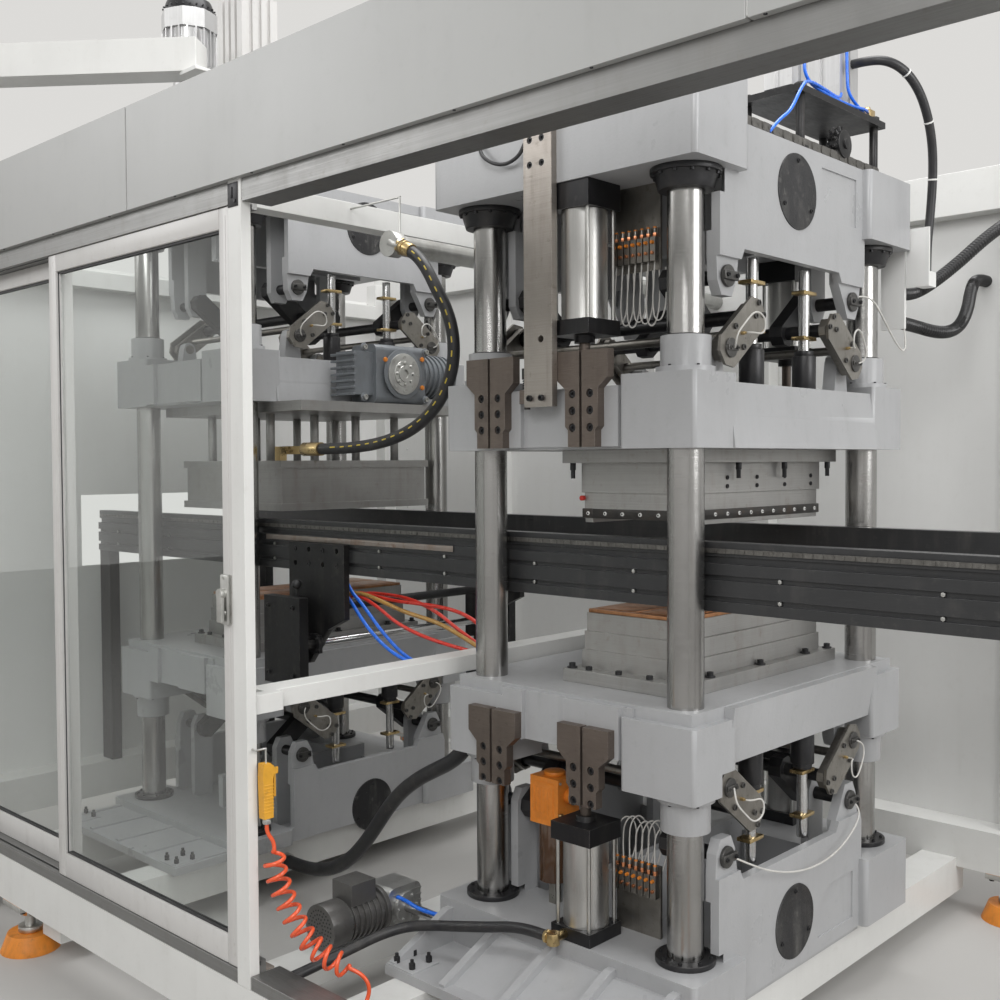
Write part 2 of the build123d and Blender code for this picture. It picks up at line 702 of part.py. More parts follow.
# Fascia panels: folded sheet with a return along the top and the bottom
fascias = []
seams = (-half_length, -250, 1600, half_length)
for left, right in zip(seams[:-1], seams[1:]):
    x0 = left + (panel_joint / 2 if left > -half_length else 0)
    x1 = right - (panel_joint / 2 if right < half_length else 0)
    outline = [
        (-half_depth, fascia_bottom),
        (-half_depth + 86, fascia_bottom),
        (-half_depth + 86, fascia_bottom + fascia_sheet),
        (-half_depth + fascia_sheet, fascia_bottom + fascia_sheet),
        (-half_depth + fascia_sheet, fascia_top - fascia_sheet),
        (-half_depth + 86, fascia_top - fascia_sheet),
        (-half_depth + 86, fascia_top),
        (-half_depth, fascia_top),
    ]
    panel = plate_x(outline, x0, x1)
    for post_left, post_right, back in front_posts:
        panel = panel - block(post_left, post_right, front_post_y0, back, fascia_bottom - 1,
                              fascia_bottom + fascia_sheet + 1)
    fascias.append(panel)
save("fascia_panels", fascias)

# Rear and end panels
panels = []
rear_seams = (-half_length + 74, -1255, -375, 165, 1115, half_length - 74)
for left, right in zip(rear_seams[:-1], rear_seams[1:]):
    panels.append(block(left + 1, right - 1, rear_y + 35, rear_y + 39, plinth_top, 2385))
end_panel = block(-half_length, -half_length + 4, -half_depth + 90, half_depth - 90, plinth_top, 2384)
panels.append(end_panel - block(-half_length - 1, -half_length + 5, -470, 470, 1120, 1420))
save("guard_panels", panels)

# Door tracks above and below, each with two running channels
tracks = []
for z0, z1, lip in ((plinth_top, door_bottom - 0.5, 8), (door_top + 0.5, fascia_bottom, -8)):
    bar = block(-half_length + 75, post_x - 2, -half_depth + 16, -half_depth + 98, z0, z1)
    for track_y in (front_track_y, rear_track_y):
        centre = track_y
        if lip > 0:
            bar = bar - block(-2 * half_length, half_length, centre - 4, centre + 4, z1 - 12, z1 + 1)
        else:
            bar = bar - block(-2 * half_length, half_length, centre - 4, centre + 4, z0 - 1, z0 + 12)
    tracks.append(bar)
bay_left = post_x + middle_post_width + 2
tracks.append(block(bay_left, half_length - 76, -half_depth + 16, -half_depth + 98, plinth_top, door_bottom - 0.5))
tracks.append(block(bay_left, half_length - 76, -half_depth + 16, -half_depth + 98, door_top + 0.5,
                    fascia_bottom))
save("door_tracks", tracks)

# Sliding doors and the fixed light at the left, each a frame with its pane
door_right_x = post_x - 4 - door_width
door_left_x = door_right_x + 10 - door_width
lock_x = post_x - 4 - door_stile / 2
lock_face = front_track_y - door_depth / 2
lock_z = 1225.0
spindle_z = lock_z + 15
lock = block(lock_x - 16, lock_x + 16, lock_face - 5, lock_face, lock_z - 60, lock_z + 60)
lock = lock + rod_y(lock_x, lock_face - 14, lock_face - 4, spindle_z, 12)
lights = (
    ("right_door", door_right_x, front_track_y, door_width, 0, [lock]),
    ("left_door", door_left_x, rear_track_y, door_width, 0, []),
    ("fixed_light", -half_length + 76, front_track_y, door_left_x + 40 + half_length - 76, 0.5, []),
)
for name, left, y, width, reach, fitted in lights:
    right = left + width
    outer = block(left, right, y - door_depth / 2, y + door_depth / 2, door_bottom - reach, door_top + reach)
    inner = block(left + door_stile, right - door_stile, y - 50, y + 50, door_bottom + 70, door_top - 50)
    pane = block(left + door_stile, right - door_stile, y - glass_thickness / 2, y + glass_thickness / 2,
                 door_bottom + 70, door_top - 50)
    save(name, [outer - inner, pane] + fitted)
handle = rod_y(lock_x, lock_face - 28, lock_face - 14.3, spindle_z, 12)
handle = handle + block(lock_x - 9, lock_x + 9, lock_face - 28, lock_face - 19, spindle_z - 68, spindle_z)
save("door_handle", [handle])

# Hook brackets, piston rods and air cylinders of the press
cylinder_x = press_x + 50
cylinder_y = 505.0
cylinder_radius = 58.0
rod_radius = 14.0
end_beam_top = upper_platen_bottom + platen_beam_height - 6
end_beam_bottom = lower_platen_top + platen_table_rise - platen_beam_height + 22
upper_gland = upper_platen_bottom + platen_height + 88
lower_gland = lower_platen_top - platen_height - 99
hook_face = -platen_half_y
hook_depth = 26.0


def hook_bracket(shank_left, shank_right, low, high, jut):
    """A bracket with three counterbored bolts in its shank and a head that juts to one side."""
    left, right = (shank_left - hook_jut, shank_right) if jut < 0 else (shank_left, shank_right + hook_jut)
    neck = high - hook_head
    slant = 26
    foot = low + hook_foot
    inset = hook_inset
    if jut < 0:
        outline = [
            (left, high),
            (left, neck),
            (shank_left, neck - slant),
            (shank_left, foot + inset),
            (shank_left + inset, foot),
            (shank_left + inset, low),
            (shank_right, low),
            (shank_right, high),
        ]
    else:
        outline = [
            (right, high),
            (right, neck),
            (shank_right, neck - slant),
            (shank_right, foot + inset),
            (shank_right - inset, foot),
            (shank_right - inset, low),
            (shank_left, low),
            (shank_left, high),
        ]
    bracket = plate_y(outline, hook_face - hook_depth, hook_face)
    middle = (shank_left + shank_right) / 2
    for row in range(3):
        z = neck - slant - 12 - row * 42
        bracket = bracket - rod_y(middle, hook_face - hook_depth, hook_face - hook_depth + 12, z, 11)
    return bracket


hook_jut = 30.0
hook_head = 68.0
hook_foot = 42.0
hook_inset = 9.0
hook_places = ((-276, -226, -1), (-218, -164, 1), (42, 88, -1), (96, 146, 1))
upper_fittings = []
lower_fittings = []
for left, right, jut in hook_places:
    upper_fittings.append(hook_bracket(press_x + left, press_x + right, upper_platen_bottom + 5,
                                       upper_platen_bottom + 243, jut))
    lower_fittings.append(hook_bracket(press_x + left, press_x + right, lower_platen_top - 235,
                                       lower_platen_top - 35, jut))
plunger_x = press_x - 97
plunger_y = -platen_half_y - 12.0
plunger_radius = 8.0
upper_fittings.append(
    block(plunger_x - 15, plunger_x + 15, plunger_y - 14, -platen_half_y + 14, upper_platen_bottom + 118,
          upper_platen_bottom + 154)
    - rod_z(plunger_x, plunger_y, upper_platen_bottom + 108, upper_platen_bottom + 168, plunger_radius + 0.05)
)
for side in (-1, 1):
    upper_fittings.append(rod_z(cylinder_x, side * cylinder_y, end_beam_top, upper_gland + 110, rod_radius))
    lower_fittings.append(rod_z(cylinder_x, side * cylinder_y, lower_gland - 106, end_beam_bottom, rod_radius))
save("press_upper_fittings", upper_fittings)
save("press_lower_fittings", lower_fittings)
plunger = rod_z(plunger_x, plunger_y, upper_platen_bottom + 104, upper_platen_bottom + 210, plunger_radius)
plunger = plunger + rod_z(plunger_x, plunger_y, upper_platen_bottom + 182, upper_platen_bottom + 210, 14)
save("index_plunger", [plunger])

cylinders = []
upper_seats = (crown_block_bottom, crown_block_bottom - rear_block_drop)
lower_seats = (base_block_top, base_block_top + rear_block_drop)
for side, upper_seat, lower_seat in ((-1, upper_seats[0], lower_seats[0]), (1, upper_seats[1], lower_seats[1])):
    y = side * cylinder_y
    half = cylinder_radius + 6
    body = block(cylinder_x - half, cylinder_x + half, y - half, y + half, upper_seat - 66, upper_seat)
    body = body + rod_z(cylinder_x, y, upper_gland + 50, upper_seat - 66, cylinder_radius)
    body = body + block(cylinder_x - half, cylinder_x + half, y - half, y + half, upper_gland + 18, upper_gland + 56)
    body = body + rod_z(cylinder_x, y, upper_gland, upper_gland + 18, 26)
    cylinders.append(body - rod_z(cylinder_x, y, upper_gland - 10, upper_gland + 160, rod_radius + 0.05))
    body = block(cylinder_x - half, cylinder_x + half, y - half, y + half, lower_seat, lower_seat + 34)
    body = body + rod_z(cylinder_x, y, lower_seat + 34, lower_gland - 54, cylinder_radius)
    body = body + block(cylinder_x - half, cylinder_x + half, y - half, y + half, lower_gland - 60, lower_gland - 14)
    body = body + rod_z(cylinder_x, y, lower_gland - 14, lower_gland, 26)
    cylinders.append(body - rod_z(cylinder_x, y, lower_gland - 146, lower_gland + 14, rod_radius + 0.05))
save("press_air_cylinders", cylinders)

# Bar that keeps the open press from falling, bolted to the crown
bar_x = press_x - 29
bar = block(bar_x - 47, bar_x + 47, casting_front_y - 20, casting_front_y, upper_platen_bottom + 108,
            crown_block_bottom + 153)
bar = bar - rod_y(bar_x + 10, casting_front_y - 30, casting_front_y + 5, upper_platen_bottom + 278, 9)
for bolt_x in (-26, 14):
    for bolt_z in (crown_block_bottom + 115, crown_block_bottom + 53):
        bar = bar - rod_y(bar_x + bolt_x, casting_front_y - 20, casting_front_y - 10, bolt_z, 9)
save("guide_bar", [bar])

# Carrier on the press's crown with its two profile cylinders
carrier_x = press_x + 290
carrier_z = crown_block_top + 40
carrier = block(carrier_x - 100, carrier_x + 100, -30, 470, carrier_z, carrier_z + 18)
posts = []
for side_x in (-1, 1):
    for side_y in (-1, 1):
        posts.append(rod_z(carrier_x + side_x * 80, 220 + side_y * 215, crown_web_top, carrier_z, 12))


def grooved_column(x, y, half, low, high, grooves, groove_half, groove_depth):
    """An extruded square column with grooves down all four faces."""
    column = block(x - half, x + half, y - half, y + half, low, high)
    for side in (-1, 1):
        for offset in grooves:
            x0, x1 = sorted((x + side * half, x + side * (half - groove_depth)))
            column = column - block(x0, x1, y + offset - groove_half, y + offset + groove_half, low - 1, high + 1)
            y0, y1 = sorted((y + side * half, y + side * (half - groove_depth)))
            column = column - block(x + offset - groove_half, x + offset + groove_half, y0, y1, low - 1, high + 1)
    return column


profiles = []
for y, half, rise in ((330, 55, 262), (70, 42, 242)):
    profiles.append(grooved_column(carrier_x, y, half, carrier_z + 18, carrier_z + 18 + rise, (0,), 8, 8))

# Lifting column and gearmotor on the forming station's crown
former_top = crown_block_top + former_rise
lift_y = -column_pitch_y / 2
lift_x = former_x + 370
lift_half = 72.0
lift_top = former_top + 475
lift = grooved_column(lift_x, lift_y, lift_half, former_top, lift_top, (-36, 0, 36), 7, 9)
top_motor = rod_z(former_x, lift_y, former_top, former_top + 345, 60)
top_motor = top_motor + rod_z(former_x, lift_y, former_top + 325, former_top + 462, 84)
for fin in range(20):
    turn = math.radians(fin * 18)
    fin_x = former_x + 88 * math.cos(turn)
    fin_y = lift_y + 88 * math.sin(turn)
    top_motor = top_motor + Pos(fin_x, fin_y, former_top + 395) * Rot(0, 0, fin * 18) * Box(20, 6, 130)
ring = Pos(former_x, lift_y, former_top + 460) * extrude(RegularPolygon(102, 8), amount=66)
top_motor = top_motor + ring
top_motor = top_motor + Pos(former_x, lift_y, former_top + 553) * Cone(94, 74, 54)
save("top_cylinders", [carrier] + posts + profiles + [lift, top_motor])

# Cable duct that runs from the lifting column over the operator's side
duct_half = 56.0
duct_height = 112.0
duct_bottom = lift_top - 280
duct_start = (lift_x - 40, lift_y - lift_half - 86)
duct_end = (-1560.0, -half_depth + 92)
run_x = duct_end[0] - duct_start[0]
run_y = duct_end[1] - duct_start[1]
duct_length = math.hypot(run_x, run_y)
duct_turn = math.degrees(math.atan2(run_y, run_x))
duct = Pos(*duct_start, duct_bottom + duct_height / 2) * Rot(0, 0, duct_turn) * (
    Pos(duct_length / 2, 0, 0) * Box(duct_length, 2 * duct_half, duct_height)
)
duct_stay = block(duct_end[0] - 40, duct_end[0] + 40, duct_end[1] - 30, duct_end[1] + 30, fascia_top, duct_bottom)
duct_bracket = block(lift_x - 60, lift_x + 40, lift_y - lift_half - 160, lift_y - lift_half, duct_bottom - 12,
                     duct_bottom)
save("cable_duct", [duct, duct_stay, duct_bracket])

# Central lubricator beside the lower air cylinder
pump_x = press_x - 150
pump_y = -395.0
seat = base_block_top
pump = [
    block(pump_x - 12, pump_x + 12, pump_y - 12, pump_y + 12, seat, seat + 67),
    rod_z(pump_x, pump_y, seat + 67, seat + 227, 44),
    block(pump_x - 50, pump_x + 50, pump_y - 45, pump_y + 45, seat + 227, seat + 357),
    rod_x(pump_x + 50, pump_x + 66, pump_y, seat + 307, 20),
]
distributor_rows = (
    (crown_block_bottom - 197, crown_block_bottom - 217, crown_block_bottom),
    (seat + 107, seat, seat + 187),
)
for low, stem_low, stem_high in distributor_rows:
    high = low + 60
    pump.append(block(press_x + 70, press_x + 210, -402, -394, stem_low, stem_high))
    for unit in range(7):
        unit_x = press_x + 80 + unit * 20
        pump.append(block(unit_x - 8, unit_x + 8, -422, -402, low, high))
        pump.append(rod_z(unit_x, -412, high, high + 22, 5))
save("lubricator", pump)

# Gearmotor that drives the press's base shaft
drive_front = drive_y + 70
drive_motor = rod_y(drive_x, drive_y, drive_front, drive_z, 66)
drive_motor = drive_motor + rod_y(drive_x, drive_front, drive_front + 130, drive_z, 56)
for fin in range(6):
    y = drive_front + 10 + fin * 20
    drive_motor = drive_motor + rod_y(drive_x, y, y + 7, drive_z, 64)
terminal_box = block(drive_x - 44, drive_x + 44, drive_front + 10, drive_front + 100, drive_z + 48, drive_z + 110)
drive_motor = drive_motor + terminal_box
drive_motor = drive_motor + rod_y(drive_x, drive_front + 130, drive_front + 144, drive_z, 67)
gearbox = block(drive_x - 52, drive_x + 52, drive_front + 144, drive_front + 270, drive_z - 62, drive_z + 62)
gearbox = fillet(gearbox.edges().filter_by(Axis.X), 22)
drive_motor = drive_motor + gearbox + rod_x(drive_x + 52, drive_x + 64, drive_y + 277, drive_z, 44)
gearbox_foot = block(drive_x - 52, drive_x + 52, drive_y + 225, drive_y + 330, plinth_bottom, drive_z - 50)
drive_motor = drive_motor + gearbox_foot
drive_shaft = rod_x(drive_x + 64, press_x - casting_half_x, drive_y + 277, drive_z, 15)
save("rail_drive", [drive_motor, drive_shaft])

# Gearmotor on the forming table
motor_x = former_x + 495
motor_seat = upper_platen_bottom + former_rise
hub_y = 60.0
hub_z = motor_seat + 110
housing = block(motor_x - 70, motor_x + 70, -60, 180, motor_seat, motor_seat + 216)
housing = fillet(housing.edges().filter_by(Axis.Y), 24)
housing = housing + block(motor_x - 52, motor_x + 52, -146, -60, motor_seat + 30, motor_seat + 186)
housing = housing + rod_y(motor_x, 180, 340, motor_seat + 112, 76) + rod_x(motor_x + 70, motor_x + 82, hub_y, hub_z, 62)
for fin in range(6):
    y = 196 + fin * 24
    housing = housing + rod_y(motor_x, y, y + 8, motor_seat + 112, 84)
housing = housing - rod_x(motor_x + 20, motor_x + 90, hub_y, hub_z, 30.05)
save("gearmotor", [housing])
hub = rod_x(motor_x + 30, motor_x + 96, hub_y, hub_z, 30) + rod_x(motor_x + 82.4, motor_x + 92, hub_y, hub_z, 48)
hub = hub - rod_x(motor_x + 29, motor_x + 97, hub_y, hub_z, 15)
for step in range(8):
    turn = math.radians(step * 45)
    bolt_y = hub_y + 39 * math.cos(turn)
    bolt_z = hub_z + 39 * math.sin(turn)
    hub = hub + Pos(motor_x + 95, bolt_y, bolt_z) * Rot(0, 90, 0) * extrude(RegularPolygon(6, 6), amount=4, both=True)
save("motor_hub", [hub])

# Blow gun on its hook beside the opening
gun_x = 266.0
hook_y = -half_depth + 28.0
gun_y = -half_depth + 55.0
gun_top = 840.0
grip = [
    (gun_y - 13, gun_top - 132),
    (gun_y + 13, gun_top - 132),
    (gun_y + 12, gun_top - 40),
    (gun_y + 16, gun_top - 26),
    (gun_y + 16, gun_top - 10),
    (gun_y + 6, gun_top),
    (gun_y - 14, gun_top),
    (gun_y - 16, gun_top - 30),
]
gun = plate_x(grip, gun_x - 11, gun_x + 11)
for side in (-1, 1):
    x0, x1 = sorted((gun_x + side * 7, gun_x + side * 11))
    gun = gun + block(x0, x1, gun_y + 10, gun_y + 27, gun_top - 28, gun_top - 12)
gun = gun - rod_x(gun_x - 12, gun_x + 12, gun_y + 21, gun_top - 20, 3.05)
post_face = post_x + middle_post_width
gun = gun + rod_z(gun_x, gun_y, gun_top - 2, gun_top + 36, 2.5)
gun = gun + rod_x(post_face, gun_x + 2.5, hook_y, gun_top + 34, 2.5) + rod_y(gun_x, hook_y, gun_y, gun_top + 34, 2.5)
gun = gun + rod_z(gun_x, gun_y, gun_top - 146, gun_top - 130, 9)
save("blow_gun", [gun])
trigger = block(gun_x - 5, gun_x + 5, gun_y + 19, gun_y + 24, gun_top - 84, gun_top - 18)
trigger = trigger + rod_x(gun_x - 10.5, gun_x + 10.5, gun_y + 21, gun_top - 20, 3)
trigger = trigger + rod_x(gun_x - 6, gun_x + 6, gun_y + 21, gun_top - 20, 5)
save("blow_gun_trigger", [trigger])


def hose(points, diameter):
    """A round tube along the route, with arcs as large as the runs allow."""
    spots = [Vector(*point) for point in points]
    radii = []
    for before, corner, after in zip(spots[:-2], spots[1:-1], spots[2:]):
        turn = math.radians((corner - before).get_angle(after - corner))
        shorter = min((corner - before).length, (after - corner).length)
        radii.append(0.45 * shorter / math.tan(turn / 2))
    path = FilletPolyline(*spots, radius=radii)
    section = Plane(origin=path @ 0, z_dir=path % 0) * Circle(diameter / 2)
    tube = sweep(section, path=path)
    share = tube.volume / (math.pi * diameter ** 2 / 4 * path.length)
    print("hose of", diameter, "length", round(path.length), "volume share", round(share, 3),
          "least radius", round(min(radii)), "in diameters", round(min(radii) / diameter, 1))
    return tube


# Curly hose of the blow gun: a lead, the coil as one fat tube, and a lead down to the coupling
lead_diameter = 8.0
coil_diameter = 58.0
coil_route = [
    (273, -1179, 627),
    (273, -1179, 588),
    (284, -1172, 544),
    (298, -1161, 498),
    (318, -1146, 446),
    (348, -1127, 403),
    (388, -1106, 374),
    (436, -1084, 360),
]
upper_lead = [
    (266, -1195, 694),
    (266, -1195, 680),
    (267.7, -1191.1, 666.7),
    (271.3, -1182.9, 653.9),
    (273, -1179, 640.6),
    (273, -1179, 627),
]
lower_lead = [
    (436, -1084, 360),
    (450.4, -1077.4, 355.8),
    (463, -1070.8, 349),
    (472.8, -1064.8, 338),
    (478, -1061.2, 323.4),
    (478, -1061.2, 307.4),
    (478, -1067.4, 292.6),
    (478, -1078.8, 281.2),
    (478, -1093.4, 275),
    (478, -1106, 275),
]
hoses = [hose(coil_route, coil_diameter), hose(upper_lead, lead_diameter), hose(lower_lead, lead_diameter)]

# Hose from the top cylinder down the right end of the press
top_hose = [
    (975, 350, 2688),
    (1028, 350, 2688),
    (1074, 374, 2681),
    (1104, 418, 2656),
    (1120, 472, 2610),
    (1124, 520, 2550),
    (1120, 562, 2485),
    (1112, 590, 2415),
    (1104, 602, 2340),
    (1096, 607, 2262),
    (1088, 607, 2185),
    (1088, 607, 2110),
]
hoses.append(hose(top_hose, 26))

# Hose from the lower air cylinder over the base to the plinth
low_hose = [
    (636, -612, 350),
    (584, -612, 350),
    (524, -622, 345),
    (460, -642, 332),
    (400, -654, 320),
    (336, -668, 308),
    (276, -690, 300),
    (222, -722, 290),
    (180, -774, 272),
    (154, -840, 252),
    (140, -912, 238),
    (134, -984, 230),
    (132, -1050, 226),
    (132, -1104, 226),
]
hoses.append(hose(low_hose, 28))

# Pressure hose with a yellow line that feeds the forming mould
striped_hose = [
    (-7, -508, 2184),
    (41, -508, 2163.6),
    (94, -509, 2116),
    (142, -512, 2046),
    (186, -508, 1976),
    (206, -504, 1896),
    (196, -500, 1814),
    (152, -496, 1742),
    (84, -492, 1684),
    (0, -488, 1644),
    (-90, -484, 1620),
    (-180, -480, 1606),
    (-270, -478, 1599),
    (-360, -477, 1596),
    (-440, -477, 1596),
]
hoses.append(hose(striped_hose, 36))

# Corrugated conduits from the rear wall to the press
conduit_high = [
    (1212, 1231, 2350),
    (1212, 1140, 2350),
    (1190, 1036, 2322),
    (1142, 944, 2260),
    (1074, 862, 2166),
    (1020, 776, 2094),
    (996, 684, 2058),
    (996, 587, 2058),
]
conduit_low = [
    (1030, 1231, 2160),
    (1030, 1140, 2160),
    (1044, 1060, 2112),
    (1062, 985, 2030),
    (1066, 900, 1968),
    (1050, 800, 1946),
    (996, 684, 1972),
    (996, 587, 1972),
]
conduit_diameter = 40.0
hoses.append(hose(conduit_high, conduit_diameter))
hoses.append(hose(conduit_low, conduit_diameter))

# Suction hose that runs behind the lower motor
suction_hose = [
    (180, -400, 930),
    (180, -400, 868),
    (173, -398, 800),
    (150, -394, 735),
    (106, -388, 680),
    (44, -382, 638),
    (-28, -380, 602),
    (-104, -378, 560),
    (-180, -376, 506),
    (-250, -372, 438),
    (-316, -368, 360),
    (-388, -362, 282),
    (-472, -354, 212),
    (-566, -345, 158),
    (-668, -336, 126),
    (-762, -333, 114),
    (-840, -333, 114),
]
hoses.append(hose(suction_hose, 46))
save("hoses", hoses)

# Fittings that the hoses end in
plinth_inner_y = -half_depth + 14 + plinth_width
crown_back_y = casting_back_y
fittings = [
    rod_y(478, plinth_inner_y, -1106, 275, 9),
    rod_x(636, 660, -612, 350, 15) + rod_z(660, -612, 335, 365, 17) + rod_y(660, -612, -569, 350, 12),
    rod_y(132, plinth_inner_y, -1104, 226, 22),
    block(1068, 1108, crown_back_y, 627, 2066, 2110) + block(1040, 1108, crown_back_y, crown_back_y + 8, 2066, 2240),
    block(960, 1034, crown_back_y, crown_back_y + 12, 1946, 2240),
    rod_z(180, -400, 930, 950, 28),
    rod_x(-860, -840, -333, 114, 28),
]

# Water pipe that hangs beside the cross beam and feeds the pressure hose
pipe_x = -47.0
pipe_z = 2196.0
pipe_radius = 30.0
pipe_front = -528.0
pipe = rod_y(pipe_x, pipe_front, rear_y + 35, pipe_z, pipe_radius)
elbow_path = Polyline((pipe_x, -508, 2201), (-7, -508, 2184))
elbow = sweep(Plane(origin=elbow_path @ 0, z_dir=elbow_path % 0) * Circle(22), path=elbow_path)
pipe = pipe + rod_y(pipe_x, pipe_front, pipe_front + 40, pipe_z, pipe_radius + 8) + elbow
hanger_y = -480.0
pipe = pipe + rod_z(pipe_x, hanger_y, pipe_z, 2340, 3) + rod_x(-275, pipe_x + 3, hanger_y, 2340, 3)
fittings.append(pipe)
save("hose_fittings", fittings)
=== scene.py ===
import bpy
import bmesh
import math
from mathutils import Matrix, Vector


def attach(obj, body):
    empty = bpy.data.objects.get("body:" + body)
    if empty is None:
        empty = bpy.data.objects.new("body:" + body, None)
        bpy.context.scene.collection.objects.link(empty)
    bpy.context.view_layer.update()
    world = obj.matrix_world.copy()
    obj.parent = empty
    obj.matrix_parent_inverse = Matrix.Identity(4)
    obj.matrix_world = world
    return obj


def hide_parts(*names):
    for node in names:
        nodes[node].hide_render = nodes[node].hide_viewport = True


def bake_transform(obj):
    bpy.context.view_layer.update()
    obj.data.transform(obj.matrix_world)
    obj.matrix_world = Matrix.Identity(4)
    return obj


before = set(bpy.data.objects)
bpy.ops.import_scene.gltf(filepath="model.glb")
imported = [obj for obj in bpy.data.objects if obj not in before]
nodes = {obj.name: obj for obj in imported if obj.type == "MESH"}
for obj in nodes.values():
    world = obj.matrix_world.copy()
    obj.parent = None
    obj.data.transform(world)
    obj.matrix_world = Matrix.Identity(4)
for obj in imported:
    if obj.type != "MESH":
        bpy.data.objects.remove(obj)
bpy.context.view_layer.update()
scene = bpy.context.scene

# Camera
# The view is from the operator's side and the open end, at eye height, with the lens and place
# worked out from the machine's own edges.

camera_data = bpy.data.cameras.new("camera")
camera_data.lens = 41.08
camera_data.sensor_width = 36.0
camera_data.clip_start = 0.05
camera = bpy.data.objects.new("camera", camera_data)
scene.collection.objects.link(camera)
turn = Matrix.Rotation(math.radians(43.48), 4, "Z") @ Matrix.Rotation(math.radians(88.11), 4, "X")
roll = Matrix.Rotation(math.radians(-0.278), 4, "Z")
camera.matrix_world = Matrix.Translation((2.52, -2.76, 1.55)) @ turn @ roll
scene.camera = camera

# Floor, room light and lamps
# A pale floor, a white surround for reflections, and soft lamps over the operator's side, the
# left end, the roof and the open end.

floor_mesh = bmesh.new()
bmesh.ops.create_grid(floor_mesh, x_segments=1, y_segments=1, size=14.0)
floor_data = bpy.data.meshes.new("floor")
floor_mesh.to_mesh(floor_data)
floor_mesh.free()
floor = bpy.data.objects.new("floor", floor_data)
scene.collection.objects.link(floor)
floor_paint = bpy.data.materials.new("pale_floor")
floor_paint.use_nodes = True
floor_shader = floor_paint.node_tree.nodes["Principled BSDF"]
floor_shader.inputs["Base Color"].default_value = (0.50, 0.49, 0.475, 1.0)
floor_shader.inputs["Roughness"].default_value = 0.7
floor.data.materials.append(floor_paint)


def lamp(name, place, target, size, watts):
    """A square soft lamp at place, facing target."""
    data = bpy.data.lights.new(name, "AREA")
    data.shape = "SQUARE"
    data.size = size
    data.energy = watts
    light = bpy.data.objects.new(name, data)
    scene.collection.objects.link(light)
    aim = Vector(target) - Vector(place)
    light.matrix_world = Matrix.Translation(place) @ aim.to_track_quat("-Z", "Y").to_matrix().to_4x4()


lamp("lamp_operator_side", (3.6, -5.0, 4.4), (0.2, 0.0, 1.2), 3.0, 185)
lamp("lamp_left", (-4.6, -4.6, 4.8), (-0.5, 0.0, 1.2), 3.0, 100)
lamp("lamp_over_roof", (0.4, 0.2, 5.6), (0.0, 0.0, 1.0), 3.2, 175)
lamp("lamp_open_end", (5.2, 0.4, 3.0), (0.5, 0.0, 1.3), 2.4, 115)


def combined(tree, operation, first, second):
    """A Math node of the operation on two sockets or a socket and a number."""
    node = tree.nodes.new("ShaderNodeMath")
    node.operation = operation
    for index, value in enumerate((first, second)):
        if isinstance(value, (int, float)):
            node.inputs[index].default_value = value
        else:
            tree.links.new(value, node.inputs[index])
    return node.outputs["Value"]


world = bpy.data.worlds.new("room")
scene.world = world
world.use_nodes = True
room = world.node_tree
background = room.nodes["Background"]
background.inputs["Color"].default_value = (0.96, 0.95, 0.93, 1.0)
background.inputs["Strength"].default_value = 0.38
# Rays from the camera, through glass and off shiny faces meet a greyer backdrop
backdrop = room.nodes.new("ShaderNodeBackground")
backdrop.inputs["Color"].default_value = (0.72, 0.71, 0.69, 1.0)
rays = room.nodes.new("ShaderNodeLightPath").outputs
seen = combined(room, "MAXIMUM", rays["Is Camera Ray"], rays["Is Transmission Ray"])
mixed = room.nodes.new("ShaderNodeMixShader")
room.links.new(combined(room, "MAXIMUM", seen, rays["Is Glossy Ray"]), mixed.inputs["Fac"])
room.links.new(background.outputs["Background"], mixed.inputs[1])
room.links.new(backdrop.outputs["Background"], mixed.inputs[2])
room.links.new(mixed.outputs["Shader"], room.nodes["World Output"].inputs["Surface"])
scene.view_settings.view_transform = "Standard"

# Plinth
# Welded square tube, painted white, on five pairs of levelling feet. The paint is smooth, with
# dirt and rubbed spots along the edges, and a steel sill strip is screwed on its inner edge.


def effect(name, inputs, outputs):
    """A shader node group with the named sockets, and its input and output nodes."""
    tree = bpy.data.node_groups.new(name, "ShaderNodeTree")
    for socket, kind, value in inputs:
        item = tree.interface.new_socket(name=socket, in_out="INPUT", socket_type="NodeSocket" + kind)
        item.default_value = value
    for socket, kind in outputs:
        tree.interface.new_socket(name=socket, in_out="OUTPUT", socket_type="NodeSocket" + kind)
    return tree, tree.nodes.new("NodeGroupInput"), tree.nodes.new("NodeGroupOutput")


def noise(tree, vector, scale, detail, roughness=0.5, distortion=0.0):
    """A noise texture in the tree, read at the vector socket, giving its Factor output."""
    node = tree.nodes.new("ShaderNodeTexNoise")
    node.inputs["Scale"].default_value = scale
    node.inputs["Detail"].default_value = detail
    node.inputs["Roughness"].default_value = roughness
    node.inputs["Distortion"].default_value = distortion
    tree.links.new(vector, node.inputs["Vector"])
    return node.outputs["Fac"]


def between(tree, value, low, high, to_low=0.0, to_high=1.0):
    """The value socket mapped from the range low to high onto to_low to to_high."""
    node = tree.nodes.new("ShaderNodeMapRange")
    node.inputs["From Min"].default_value = low
    node.inputs["From Max"].default_value = high
    node.inputs["To Min"].default_value = to_low
    node.inputs["To Max"].default_value = to_high
    tree.links.new(value, node.inputs["Value"])
    return node.outputs["Result"]


def scaled_place(tree, place, stretch):
    """The place vector times the stretch vector, as a socket."""
    node = tree.nodes.new("ShaderNodeVectorMath")
    node.operation = "MULTIPLY"
    tree.links.new(place, node.inputs[0])
    tree.links.new(stretch, node.inputs[1])
    return node.outputs["Vector"]


